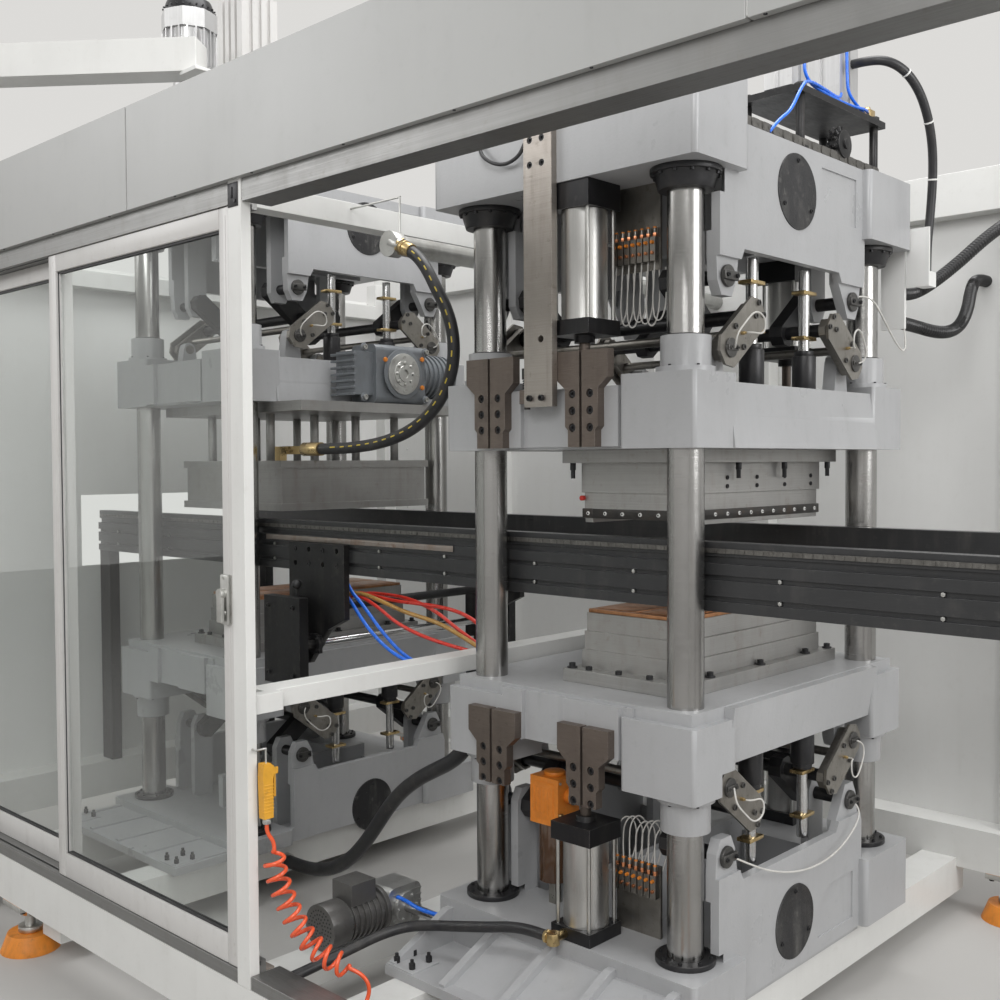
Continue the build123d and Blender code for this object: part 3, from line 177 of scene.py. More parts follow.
# Uneven paint: slow clouds of tone, and the fine peel of a sprayed coat
uneven, uneven_in, uneven_out = effect(
    "uneven coat",
    [("Place", "Vector", (0, 0, 0)), ("Clouds", "Float", 5.0), ("Peel", "Float", 300.0)],
    [("Tone", "Float"), ("Peel", "Float")],
)
cloud = uneven.nodes.new("ShaderNodeTexNoise")
cloud.inputs["Detail"].default_value = 5.0
cloud.inputs["Roughness"].default_value = 0.6
uneven.links.new(uneven_in.outputs["Place"], cloud.inputs["Vector"])
uneven.links.new(uneven_in.outputs["Clouds"], cloud.inputs["Scale"])
fine = uneven.nodes.new("ShaderNodeTexNoise")
fine.inputs["Detail"].default_value = 2.0
uneven.links.new(uneven_in.outputs["Place"], fine.inputs["Vector"])
uneven.links.new(uneven_in.outputs["Peel"], fine.inputs["Scale"])
uneven.links.new(between(uneven, cloud.outputs["Fac"], 0.3, 0.7), uneven_out.inputs["Tone"])
uneven.links.new(fine.outputs["Fac"], uneven_out.inputs["Peel"])

# Handling marks: blotches of grease and dust, and thin drips that run down
marks, marks_in, marks_out = effect(
    "grease and dust",
    [("Place", "Vector", (0, 0, 0)), ("Amount", "Float", 0.3)],
    [("Marks", "Float")],
)
drip_stretch = marks.nodes.new("ShaderNodeCombineXYZ")
for axis, value in zip("XYZ", (26.0, 26.0, 2.2)):
    drip_stretch.inputs[axis].default_value = value
drips = noise(marks, scaled_place(marks, marks_in.outputs["Place"], drip_stretch.outputs["Vector"]), 1.0, 4.0,
              0.6)
blotch = noise(marks, marks_in.outputs["Place"], 9.0, 7.0, 0.65, 0.8)
both = combined(marks, "MULTIPLY", between(marks, drips, 0.45, 0.75), between(marks, blotch, 0.42, 0.70))
spots = between(marks, noise(marks, marks_in.outputs["Place"], 42.0, 5.0, 0.6), 0.60, 0.72)
total = combined(marks, "ADD", both, combined(marks, "MULTIPLY", spots, 0.5))
marks.links.new(combined(marks, "MULTIPLY", total, marks_in.outputs["Amount"]), marks_out.inputs["Marks"])

# Worn edges: found by rounding the normal, and broken up by noise
worn, worn_in, worn_out = effect(
    "worn edges",
    [("Place", "Vector", (0, 0, 0)), ("Width", "Float", 0.003), ("Amount", "Float", 0.5)],
    [("Wear", "Float")],
)
rounded = worn.nodes.new("ShaderNodeBevel")
rounded.samples = 3
worn.links.new(worn_in.outputs["Width"], rounded.inputs["Radius"])
true_normal = worn.nodes.new("ShaderNodeNewGeometry")
likeness = worn.nodes.new("ShaderNodeVectorMath")
likeness.operation = "DOT_PRODUCT"
worn.links.new(rounded.outputs["Normal"], likeness.inputs[0])
worn.links.new(true_normal.outputs["Normal"], likeness.inputs[1])
edge = between(worn, likeness.outputs["Value"], 0.995, 0.88)
chips = between(worn, noise(worn, worn_in.outputs["Place"], 30.0, 6.0, 0.7), 0.42, 0.62)
worn.links.new(combined(worn, "MULTIPLY", combined(worn, "MULTIPLY", edge, chips), worn_in.outputs["Amount"]),
               worn_out.inputs["Wear"])

# Tool lines: the fine lay that grinding, milling or brushing leaves, stretched along one direction
lay, lay_in, lay_out = effect(
    "tool lines",
    [("Place", "Vector", (0, 0, 0)), ("Stretch", "Vector", (1.0, 1.0, 1.0))],
    [("Lines", "Float")],
)
lay_noise = noise(lay, scaled_place(lay, lay_in.outputs["Place"], lay_in.outputs["Stretch"]), 1.0, 3.0, 0.7)
lay.links.new(between(lay, lay_noise, 0.3, 0.7), lay_out.inputs["Lines"])


def placed_group(tree, group, place, values):
    """One use of an effect in a material, with its own values."""
    node = tree.nodes.new("ShaderNodeGroup")
    node.node_tree = group
    tree.links.new(place, node.inputs["Place"])
    for socket, value in values.items():
        node.inputs[socket].default_value = value
    return node


def blended(tree, first, second, share):
    """A colour mixed from two colours or colour sockets by the share socket."""
    node = tree.nodes.new("ShaderNodeMix")
    node.data_type = "RGBA"
    tree.links.new(share, node.inputs["Factor"])
    for socket, value in ((node.inputs[6], first), (node.inputs[7], second)):
        if isinstance(value, tuple):
            socket.default_value = (*value, 1.0)
        else:
            tree.links.new(value, socket)
    return node.outputs[2]


def surface(name, colour, roughness, metallic=0.0, tone=0.06, clouds=5.0, peel=0.0, peel_scale=300.0,
            lines=None, dirt=None, wear=None, coat=0.0):
    """A finish of a colour and its clouds, with tool lines (their stretch and depth), dirt (its colour and
    amount) and worn edges (their colour, width and amount)."""
    material = bpy.data.materials.new(name)
    material.use_nodes = True
    tree = material.node_tree
    shader = tree.nodes["Principled BSDF"]
    shader.inputs["Metallic"].default_value = metallic
    shader.inputs["Coat Weight"].default_value = coat
    shader.inputs["Coat Roughness"].default_value = 0.15
    place = tree.nodes.new("ShaderNodeTexCoord").outputs["Object"]
    coat_node = placed_group(tree, uneven, place, {"Clouds": clouds, "Peel": peel_scale})
    dark = tuple(channel * (1.0 - tone) for channel in colour)
    light = tuple(min(channel * (1.0 + tone), 1.0) for channel in colour)
    shade = blended(tree, dark, light, coat_node.outputs["Tone"])
    shine = between(tree, coat_node.outputs["Tone"], 0.0, 1.0, roughness[0], roughness[1])
    height = combined(tree, "MULTIPLY", coat_node.outputs["Peel"], peel)
    if lines:
        stretch, depth = lines
        line_mask = placed_group(tree, lay, place, {"Stretch": stretch}).outputs["Lines"]
        deep = tuple(channel * 0.80 for channel in colour)
        shade = blended(tree, shade, deep, combined(tree, "MULTIPLY", line_mask, 0.45))
        shine = combined(tree, "ADD", shine, combined(tree, "MULTIPLY", line_mask, 0.10))
        height = combined(tree, "ADD", height, combined(tree, "MULTIPLY", line_mask, depth))
    if dirt:
        dirt_colour, amount = dirt
        dirt_mask = placed_group(tree, marks, place, {"Amount": amount}).outputs["Marks"]
        shade = blended(tree, shade, dirt_colour, dirt_mask)
        shine = combined(tree, "ADD", shine, combined(tree, "MULTIPLY", dirt_mask, 0.25))
    if wear:
        bare, width, amount = wear
        wear_mask = placed_group(tree, worn, place, {"Width": width, "Amount": amount}).outputs["Wear"]
        shade = blended(tree, shade, bare, wear_mask)
    bump = tree.nodes.new("ShaderNodeBump")
    bump.inputs["Strength"].default_value = 0.6
    bump.inputs["Distance"].default_value = 0.001
    tree.links.new(height, bump.inputs["Height"])
    tree.links.new(shade, shader.inputs["Base Color"])
    tree.links.new(shine, shader.inputs["Roughness"])
    tree.links.new(bump.outputs["Normal"], shader.inputs["Normal"])
    return material


def cover_node(name, material, edge=0.0):
    """Gives a carried-over CAD node its finish and, where it has an edge size, its rounded edges."""
    node = nodes[name]
    node.data.materials.clear()
    node.data.materials.append(material)
    if edge:
        weld = node.modifiers.new("weld", "WELD")
        weld.merge_threshold = 0.00002
        bevel = node.modifiers.new("edge", "BEVEL")
        bevel.width = edge
        bevel.segments = 2
        bevel.limit_method = "ANGLE"
        bevel.angle_limit = math.radians(50)
        bevel.harden_normals = True


def soften(shape, edges, amount, segments=2):
    """Rounds or chamfers the edges by an amount in millimetres."""
    bmesh.ops.bevel(shape, geom=edges, offset=amount, offset_type="OFFSET", segments=segments, profile=0.5,
                    affect="EDGES", material=-1, clamp_overlap=True)


def put_block(shape, low, high, edge=0.0):
    """Adds a block between two corners, in millimetres, with its edges rounded by edge."""
    size = [b - a for a, b in zip(low, high)]
    middle = [(a + b) / 2 for a, b in zip(low, high)]
    matrix = Matrix.Translation(middle) @ Matrix.Diagonal((*size, 1.0))
    made = bmesh.ops.create_cube(shape, size=1.0, matrix=matrix)["verts"]
    if edge:
        soften(shape, list({line for corner in made for line in corner.link_edges}), edge)


def put_rod(shape, start, end, radius, end_radius=None, sides=24, edge=0.0):
    """Adds a round bar or cone between two points, in millimetres, and gives its end faces."""
    start, end = Vector(start), Vector(end)
    line = end - start
    matrix = Matrix.Translation((start + end) / 2) @ line.to_track_quat("Z", "Y").to_matrix().to_4x4()
    made = bmesh.ops.create_cone(shape, cap_ends=True, segments=sides, radius1=radius,
                                 radius2=radius if end_radius is None else end_radius,
                                 depth=line.length, matrix=matrix)["verts"]
    caps = [face for face in {f for corner in made for f in corner.link_faces} if len(face.verts) == sides]
    if edge:
        soften(shape, list({line for face in caps for line in face.edges}), edge)
    return caps


def put_screw(shape, foot, direction, radius, height):
    """Adds a socket-head screw that stands on foot and points along direction, with its recess."""
    axis = Vector(direction).normalized()
    tip = Vector(foot) + axis * height
    caps = put_rod(shape, foot, tip, radius, sides=12)
    top = max(caps, key=lambda face: face.calc_center_median().dot(axis))
    bmesh.ops.inset_individual(shape, faces=[top], thickness=radius * 0.42)
    sunk = bmesh.ops.extrude_discrete_faces(shape, faces=[top])["faces"]
    bmesh.ops.translate(shape, vec=axis * (-height * 0.6),
                        verts=list({v for face in sunk for v in face.verts}))


def finish_metres(name, shape, material, sharp_degrees):
    """Turns a shape in metres into an object, smooth but for edges sharper than the angle."""
    data = bpy.data.meshes.new(name)
    shape.to_mesh(data)
    shape.free()
    data.shade_smooth()
    data.set_sharp_from_angle(angle=math.radians(sharp_degrees))
    data.materials.append(material)
    piece = bpy.data.objects.new(name, data)
    scene.collection.objects.link(piece)
    return piece


def finish_piece(name, shape, material, body):
    """Turns a shape in millimetres into an object in metres, seated on its body."""
    bmesh.ops.transform(shape, matrix=Matrix.Scale(0.001, 4), verts=shape.verts)
    piece = finish_metres(name, shape, material, 35)
    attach(piece, body)
    return piece


white_paint = surface("white_frame_paint", (0.72, 0.72, 0.70), (0.28, 0.42), tone=0.03, peel=0.12,
                      peel_scale=260.0, dirt=((0.36, 0.33, 0.29), 0.16),
                      wear=((0.45, 0.44, 0.41), 0.003, 0.3))
cover_node("plinth_beams", white_paint, 0.003)

screw_black = surface("black_oxide_screws", (0.035, 0.035, 0.037), (0.35, 0.5), metallic=0.6, tone=0.2,
                      clouds=60.0)
rusty_steel = surface("rusty_sill_steel", (0.34, 0.30, 0.27), (0.35, 0.6), metallic=0.8, tone=0.25,
                      clouds=14.0, lines=((3.0, 300.0, 300.0), 0.2), dirt=((0.22, 0.10, 0.05), 1.0))
SILL_LOW, SILL_TOP = 300, 305
SCREW_PITCH = 120
sill = bmesh.new()
sill_screws = bmesh.new()
for left, right in ((-2020, 190), (262, 2020)):
    put_block(sill, (left, -1148, SILL_LOW), (right, -1124, SILL_TOP), 1.0)
    for step in range(int((right - left) // SCREW_PITCH)):
        put_screw(sill_screws, (left + (step + 0.5) * SCREW_PITCH, -1136, SILL_TOP), (0, 0, 1), 5.5, 4)
finish_piece("sill_strip", sill, rusty_steel, "machine")
finish_piece("sill_screws", sill_screws, screw_black, "machine")

# Levelling feet
# A steel screw in a foot plate under the plinth, standing on a round orange rubber pad.

foot_material = surface("orange_pad_rubber", (0.80, 0.27, 0.03), (0.45, 0.6), tone=0.12, clouds=18.0,
                        peel=0.3, peel_scale=180.0, dirt=((0.12, 0.07, 0.04), 0.8))
cover_node("levelling_feet", foot_material, 0.0015)
zinc_plate = surface("zinc_plated_steel", (0.55, 0.55, 0.53), (0.28, 0.45), metallic=1.0, tone=0.1,
                     clouds=30.0, dirt=((0.2, 0.16, 0.12), 0.5))
feet = bmesh.new()
feet_bolts = bmesh.new()
for foot_x in (-1900, -1070, 165, 1150, 1900):
    for foot_y in (-1176, 1176):
        foot = (foot_x, foot_y)
        put_rod(feet, (*foot, 58), (*foot, 76), 37, sides=32, edge=2.0)
        put_rod(feet, (*foot, 76), (*foot, 144), 16, sides=20)
        put_rod(feet, (*foot, 110), (*foot, 134), 30, sides=6, edge=2.0)
        put_block(feet, (foot_x - 64, foot_y - 61.5, 142), (foot_x + 64, foot_y + 61.5, 159.5), 2.0)
        for side_x in (-46, 46):
            for side_y in (-44, 44):
                spot = (foot_x + side_x, foot_y + side_y)
                put_rod(feet_bolts, (*spot, 134), (*spot, 142), 9, sides=6, edge=1.0)
finish_piece("foot_screws", feet, zinc_plate, "machine")
finish_piece("foot_bolts", feet_bolts, screw_black, "machine")

# Guard frame
# Welded tube, painted white like the plinth. Posts carry the fascia, and the middle post has a
# slotted latch plate near its top.

cover_node("guard_frame", white_paint, 0.002)
latch = bmesh.new()
put_block(latch, (200, -1238.5, 2150), (240, -1235.5, 2206), 1.0)
put_block(latch, (214, -1240.5, 2170), (220, -1238, 2196), 0.5)
put_rod(latch, (230, -1241, 2162), (230, -1238, 2162), 4, sides=12)
finish_piece("post_latch_plate", latch, screw_black, "machine")

# Fascia
# Folded sheet steel in three lengths, painted a warm grey, with small countersunk screws along
# the fold underneath.

fascia_paint = surface("grey_fascia_paint", (0.385, 0.388, 0.380), (0.30, 0.42), tone=0.035, clouds=2.0,
                       peel=0.10, peel_scale=260.0, dirt=((0.20, 0.19, 0.18), 0.12),
                       wear=((0.5, 0.5, 0.48), 0.002, 0.25))
cover_node("fascia_panels", fascia_paint, 0.0025)
fascia_screws = bmesh.new()
for step in range(13):
    screw_x = -2000 + step * 330
    if not 180 < screw_x < 270:
        put_rod(fascia_screws, (screw_x, -1245.5, 2212), (screw_x, -1245.5, 2210.5), 3.2, sides=12)
finish_piece("fascia_screws", fascia_screws, screw_black, "machine")

# Rear and end panels
# Flat white sheet, screwed to the posts, with a round rubber grommet behind the press.

panel_paint = surface("white_panel_paint", (0.78, 0.78, 0.765), (0.32, 0.45), tone=0.025, clouds=1.6,
                      peel=0.10, peel_scale=240.0, dirt=((0.48, 0.45, 0.40), 0.12))
cover_node("guard_panels", panel_paint)
grommet = bmesh.new()
put_rod(grommet, (1240, 1231, 2060), (1240, 1228.5, 2060), 26, sides=32, edge=0.8)
black_rubber = surface("black_rubber", (0.022, 0.022, 0.024), (0.42, 0.58), tone=0.2, clouds=20.0, peel=0.3,
                       peel_scale=220.0, dirt=((0.10, 0.095, 0.09), 0.5))
finish_piece("cable_grommet", grommet, black_rubber, "machine")
panel_screws = bmesh.new()
for screw_x in (-1930, -1240, -390, 150, 1100, 1130, 1930):
    for step in range(7):
        screw_z = 420 + step * 300
        put_rod(panel_screws, (screw_x, 1231, screw_z), (screw_x, 1229, screw_z), 4.5, 3.2, sides=12)
finish_piece("panel_screws", panel_screws, zinc_plate, "machine")

# Door tracks
# Extruded aluminium channels, above and below, in which the doors run and the fixed light stands.

# Painted shade: the aluminium is coloured much darker than bare aluminium, to stand in for the shade under
# the fascia, and the lower track gets the same dark colour.
track_aluminium = surface("track_aluminium", (0.27, 0.27, 0.265), (0.30, 0.42), metallic=0.9, tone=0.05,
                          clouds=8.0, lines=((2.0, 260.0, 260.0), 0.15), dirt=((0.20, 0.18, 0.16), 0.4))
cover_node("door_tracks", track_aluminium, 0.001)

# Doors and fixed light
# Aluminium frames with a step round the glass, a black gasket and a clear pane. The right door
# carries a lock case with its lever, and both doors slide.

door_aluminium = surface("door_frame_coat", (0.60, 0.59, 0.575), (0.30, 0.42), tone=0.03, clouds=3.0,
                         peel=0.08, dirt=((0.26, 0.23, 0.20), 0.25), wear=((0.75, 0.74, 0.72), 0.0015, 0.3))
door_glass = bpy.data.materials.new("door_pane_glass")
door_glass.use_nodes = True
glass_tree = door_glass.node_tree
glass_shader = glass_tree.nodes["Principled BSDF"]
glass_shader.inputs["Base Color"].default_value = (0.93, 0.965, 0.95, 1.0)
glass_shader.inputs["IOR"].default_value = 1.45
glass_shader.inputs["Transmission Weight"].default_value = 1.0
glass_place = glass_tree.nodes.new("ShaderNodeTexCoord").outputs["Object"]
glass_film = placed_group(glass_tree, marks, glass_place, {"Amount": 0.10})
glass_tree.links.new(between(glass_tree, glass_film.outputs["Marks"], 0.0, 0.1, 0.0, 0.06),
                     glass_shader.inputs["Roughness"])
STILE = 45.0
TOP_RAIL = 50.0
BOTTOM_RAIL = 70.0
PANE_THICK = 6.0
# Each frame: its node, body, left, right, front, back, low and high
DOORS = (
    ("right_door", "right_door", -747.0, 193.0, -1230.0, -1200.0, 334.0, 2158.0),
    ("left_door", "left_door", -1677.0, -737.0, -1187.0, -1157.0, 334.0, 2158.0),
    ("fixed_light", "machine", -2024.0, -1637.0, -1230.0, -1200.0, 333.5, 2158.5),
)
for node_name, body, left, right, front, back, low, high in DOORS:
    door = bmesh.new()
    for x0, x1 in ((left, left + STILE), (right - STILE, right)):
        put_block(door, (x0, front, low), (x1, back, high), 2.5)
        step_x = x1 if x0 == left else x0
        put_block(door, (step_x - 8, front + 8, low + BOTTOM_RAIL - 10), (step_x + 8, back - 8, high - STILE),
                  1.0)
        groove_x = (x0 + x1) / 2
        put_block(door, (groove_x - 7, front - 1.0, low + 20), (groove_x + 7, front + 2, high - 20), 0.6)
    put_block(door, (left + STILE, front, high - TOP_RAIL), (right - STILE, back, high), 2.5)
    put_block(door, (left + STILE, front, low), (right - STILE, back, low + BOTTOM_RAIL), 2.5)
    frame_piece = finish_piece(node_name + "_frame", door, door_aluminium, body)
    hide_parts(node_name)
    gasket = bmesh.new()
    x0, x1, z0, z1 = left + STILE, right - STILE, low + BOTTOM_RAIL, high - TOP_RAIL
    pane_front = (front + back - PANE_THICK) / 2
    for face in (pane_front - 5, pane_front + PANE_THICK):
        put_block(gasket, (x0 - 1, face, z0 - 1), (x0 + 6, face + 5, z1 + 1))
        put_block(gasket, (x1 - 6, face, z0 - 1), (x1 + 1, face + 5, z1 + 1))
        put_block(gasket, (x0, face, z0 - 1), (x1, face + 5, z0 + 6))
        put_block(gasket, (x0, face, z1 - 6), (x1, face + 5, z1 + 1))
    finish_piece(node_name + "_gasket", gasket, black_rubber, body)
    pane = bmesh.new()
    put_block(pane, (x0 - 4, pane_front, z0 - 4), (x1 + 4, pane_front + PANE_THICK, z1 + 4))
    finish_piece(node_name + "_pane", pane, door_glass, body)
lock = bmesh.new()
put_block(lock, (154.5, -1244, 1165), (186.5, -1229, 1285), 4.0)
put_rod(lock, (170.5, -1247, 1192), (170.5, -1244, 1192), 9, sides=24, edge=0.8)
put_block(lock, (169.5, -1247.6, 1187), (171.5, -1246.5, 1197))
for screw_z in (1173, 1277):
    put_screw(lock, (170.5, -1244, screw_z), (0, -1, 0), 3.5, 1.5)
finish_piece("lock_case", lock, zinc_plate, "right_door")
cover_node("door_handle", zinc_plate, 0.001)

# Crown and base castings
# Grey iron from one pattern, turned over for the base, machined at the seats and sprayed with a
# satin grey coat. Dark bearing covers and oblong pin keepers are screwed to their side plates.

casting_paint = surface("grey_casting_paint", (0.400, 0.404, 0.412), (0.25, 0.40), tone=0.05, clouds=3.5,
                        peel=0.45, peel_scale=150.0, dirt=((0.16, 0.155, 0.15), 0.20),
                        wear=((0.56, 0.57, 0.58), 0.004, 0.35))
for name in ("press_crown", "press_base", "former_crown", "former_base"):
    cover_node(name, casting_paint, 0.003)
cover_black = surface("scratched_black_cover", (0.030, 0.030, 0.032), (0.30, 0.55), metallic=0.5, tone=0.3,
                      clouds=9.0, lines=((90.0, 700.0, 60.0), 0.5), dirt=((0.32, 0.31, 0.29), 0.5),
                      wear=((0.4, 0.4, 0.4), 0.002, 0.6))
cover_node("bearing_covers", cover_black, 0.0012)

# Each station: name, middle in x, lift of the crown, drop of the base, middle of its toggles in y
STATIONS = (("press", 630.0, 0.0, 0.0, -62.0), ("former", -1220.0, 185.0, 90.0, 45.0))
MIRROR = 1290.0
UPPER_PIN = 1995.0
LOWER_PIN = 2 * MIRROR - UPPER_PIN
HALF_SPAN = 322.0
EAR_FACE = 390
COVER_FACE = 403
CROWN_SEAT, BASE_SEAT = 2247.0, 333.0
COVER_CIRCLE = 80
keeper_steel = surface("oiled_keeper_steel", (0.10, 0.098, 0.095), (0.32, 0.5), metallic=0.8, tone=0.2,
                       clouds=24.0, dirt=((0.02, 0.018, 0.016), 0.6), wear=((0.42, 0.41, 0.40), 0.0015, 0.6))


def put_screw_ring(shape, middle, direction, circle, count, first, radius, height):
    """Adds screws that point along an axis, on a circle round middle, the first at an angle in degrees."""
    across, upward = [axis for axis in range(3) if not direction[axis]]
    for step in range(count):
        angle = math.radians(first + step * 360 / count)
        foot = list(middle)
        foot[across] += circle * math.cos(angle)
        foot[upward] += circle * math.sin(angle)
        put_screw(shape, foot, direction, radius, height)


keepers = bmesh.new()
keeper_screws = bmesh.new()
cover_screws = bmesh.new()
for station, station_x, rise, drop, toggle_y in STATIONS:
    for side in (-1, 1):
        face = station_x + side * EAR_FACE
        for pin_z in (UPPER_PIN + rise, LOWER_PIN - drop):
            for pin_y in (toggle_y - HALF_SPAN, toggle_y + HALF_SPAN):
                put_rod(keepers, (face, pin_y, pin_z), (face + side * 9, pin_y, pin_z), 27, sides=40,
                        edge=1.5)
                near, far = sorted((face + side * 9, face + side * 17))
                put_block(keepers, (near, pin_y - 30, pin_z - 11), (far, pin_y + 30, pin_z + 11), 2.0)
                for shift in (-20, 20):
                    put_screw(keeper_screws, (face + side * 17, pin_y + shift, pin_z), (side, 0, 0), 5.5, 5)
        for cover_z in (CROWN_SEAT + rise, BASE_SEAT - drop):
            middle = (station_x + side * COVER_FACE, toggle_y - 2, cover_z)
            put_screw_ring(cover_screws, middle, (side, 0, 0), COVER_CIRCLE, 3, 90, 6.0, 3.5)
finish_piece("pin_keepers", keepers, keeper_steel, "machine")
finish_piece("keeper_screws", keeper_screws, screw_black, "machine")
finish_piece("cover_screws", cover_screws, screw_black, "machine")

# Foot bolts and machined pads of the base
foot_pads = bmesh.new()
pad_bolts = bmesh.new()
for station, station_x, rise, drop, toggle_y in STATIONS:
    for pad_x in (station_x - 345, station_x + 345):
        put_block(foot_pads, (pad_x - 50, -798, 215), (pad_x + 50, -700, 221), 1.5)
        for shift_x in (-30, 30):
            for shift_y in (-30, 30):
                spot = (pad_x + shift_x, -749 + shift_y)
                put_rod(pad_bolts, (*spot, 221), (*spot, 237), 9, sides=6, edge=1.0)
                put_rod(pad_bolts, (*spot, 237), (*spot, 246), 5, sides=12)
finish_piece("base_foot_pads", foot_pads, casting_paint, "machine")
finish_piece("base_foot_bolts", pad_bolts, screw_black, "machine")

# Tie columns and collars
# Hard-chromed and ground round bars, held in the crown by black flanged collars and standing in
# black flanges on the base, each with a ring of socket screws.

ground_chrome = surface("ground_chrome", (0.40, 0.395, 0.385), (0.10, 0.20), metallic=1.0, tone=0.05,
                        clouds=4.0, lines=((4.0, 4.0, 900.0), 0.10), dirt=((0.13, 0.10, 0.08), 0.30))
cover_node("tie_columns", ground_chrome)
black_casting = surface("black_machined_casting", (0.020, 0.020, 0.022), (0.30, 0.46), metallic=0.25,
                        tone=0.25, clouds=16.0, peel=0.35, peel_scale=170.0, dirt=((0.09, 0.08, 0.07), 0.5),
                        wear=((0.22, 0.21, 0.20), 0.002, 0.5))
cover_node("column_collars", black_casting, 0.0012)
COLUMN_X, COLUMN_Y = 325, 460
REAR_STEP = 72.0
collar_screws = bmesh.new()
for station, station_x, rise, drop, toggle_y in STATIONS:
    for side_x in (-COLUMN_X, COLUMN_X):
        for side_y, step_in in ((-COLUMN_Y, 0.0), (COLUMN_Y, REAR_STEP)):
            top = (station_x + side_x, side_y, CROWN_SEAT - step_in + rise - 14)
            put_screw_ring(collar_screws, top, (0, 0, -1), 78, 12, 15, 5.0, 6)
            foot = (station_x + side_x, side_y, BASE_SEAT + step_in - drop + 14)
            put_screw_ring(collar_screws, foot, (0, 0, 1), 62, 8, 22.5, 5.0, 6)
finish_piece("collar_screws", collar_screws, screw_black, "machine")

# Platens
# Cast like the crown and bored for the columns, with sleeves that end in black wiper rings and
# machined front pads for the brackets.

UPPER_PLATEN_LOW, LOWER_PLATEN_TOP = 1582.0, 925.0
PLATEN_HEIGHT, SLEEVE = 180.0, 88.0
for station, station_x, rise, drop, toggle_y in STATIONS:
    for level, wiper_z, away in (
        ("upper", UPPER_PLATEN_LOW + PLATEN_HEIGHT + SLEEVE + rise, 1),
        ("lower", LOWER_PLATEN_TOP - PLATEN_HEIGHT - SLEEVE - drop, -1),
    ):
        cover_node(f"{station}_{level}_platen", casting_paint, 0.003)
        wipers = bmesh.new()
        seal_screws = bmesh.new()
        for side_x in (-COLUMN_X, COLUMN_X):
            for side_y in (-COLUMN_Y, COLUMN_Y):
                column = (station_x + side_x, side_y)
                put_rod(wipers, (*column, wiper_z), (*column, wiper_z + away * 4), 55, 49, sides=40, edge=0.6)
                flange = (*column, wiper_z - away * 73.5)
                put_screw_ring(seal_screws, flange, (0, 0, away), 67, 6, 30, 3.5, 3.5)
        platen_group = f"{station}_{level}_platen_group"
        finish_piece(f"{station}_{level}_wipers", wipers, black_rubber, platen_group)
        finish_piece(f"{station}_{level}_sleeve_screws", seal_screws, screw_black, platen_group)

# Toggle arms and links
# Black cast arms on the crown's and base's pins and ground steel links on the platens', joined at
# the knee. Chamfered cheek plates are screwed to the links, each with a pin cap and a nipple.

link_steel = surface("oiled_link_steel", (0.30, 0.285, 0.26), (0.24, 0.42), metallic=0.9, tone=0.18,
                     clouds=10.0, lines=((20.0, 240.0, 60.0), 0.2), dirt=((0.05, 0.035, 0.022), 0.8),
                     wear=((0.62, 0.60, 0.57), 0.002, 0.5))
brass = surface("brass_fitting", (0.56, 0.42, 0.21), (0.22, 0.36), metallic=1.0, tone=0.12, clouds=40.0,
                dirt=((0.22, 0.13, 0.06), 0.5))
LINK = 142.0
REST = math.radians(52.6)
PIN_DROP = 2 * LINK * math.cos(REST)
EYE_FACE = 394
CHEEK_FACE = 402
# Each toggle: its name, its station's middle in x, its lower pin's y and z, its side and its way up
TOGGLES = [
    (f"{station}_{level}_{place}", station_x, toggle_y + side * HALF_SPAN,
     (UPPER_PIN + rise if up > 0 else LOWER_PIN - drop) - up * PIN_DROP, side, up)
    for station, station_x, rise, drop, toggle_y in STATIONS
    for level, up in (("upper", 1), ("lower", -1))
    for place, side in (("front", -1), ("rear", 1))
]
for toggle, station_x, pin_y, low_z, side, up in TOGGLES:
    link = toggle + "_link"
    cover_node(toggle + "_arm", black_casting, 0.0012)
    cover_node(link, link_steel, 0.0015)
    to_knee = Vector((0, -side * LINK * math.sin(REST), up * LINK * math.cos(REST)))
    aside = Vector((0, -to_knee.z, to_knee.y)).normalized()
    cheeks = bmesh.new()
    heads = bmesh.new()
    nipples = bmesh.new()
    for away in (-1, 1):
        eye = station_x + away * EYE_FACE
        face = station_x + away * CHEEK_FACE
        put_rod(heads, (eye, pin_y, low_z), (eye + away * 13, pin_y, low_z), 24, sides=40, edge=1.2)
        near, far = sorted((eye + away * 13, eye + away * 18))
        put_block(heads, (near, pin_y - 22, low_z - 7), (far, pin_y + 22, low_z + 7), 1.0)
        for shift in (-14, 14):
            put_screw(heads, (eye + away * 18, pin_y + shift, low_z), (away, 0, 0), 4.5, 4)
        middle = Vector((eye + away * 4.3, pin_y, low_z)) + to_knee / 2
        turned = Matrix.Translation(middle) @ Matrix.Rotation(math.atan2(-to_knee.y, to_knee.z), 4, "X")
        cheek = bmesh.ops.create_cube(cheeks, size=1.0, matrix=turned @ Matrix.Diagonal((7.6, 94, 226, 1.0)))
        corners = [line for line in {e for corner in cheek["verts"] for e in corner.link_edges}
                   if abs((line.verts[0].co - line.verts[1].co).normalized().x) > 0.9]
        soften(cheeks, corners, 27, 1)
        for share, shift in ((0.34, 30), (0.34, -30), (1.0, 0), (1.22, 18), (1.22, -18)):
            put_screw(heads, Vector((face, pin_y, low_z)) + to_knee * share + aside * shift, (away, 0, 0),
                      7.5, 5)
        nipple = Vector((face, pin_y, low_z)) + to_knee * 0.45
        neck = nipple + Vector((away * 9, 0, 0))
        put_rod(nipples, nipple, neck, 4.5, sides=6, edge=0.4)
        put_rod(nipples, neck, neck + Vector((away * 6, 0, 0)), 3, 2, sides=12)
    finish_piece(link + "_cheeks", cheeks, link_steel, link)
    finish_piece(link + "_screws", heads, keeper_steel, link)
    finish_piece(link + "_nipples", nipples, brass, link)

# Moulds
# Milled aluminium plates bolted under and over the platens. The press's upper mould has a dark
# frame with white plugs round its lower rim, and a copper sheet lies on each lower mould.

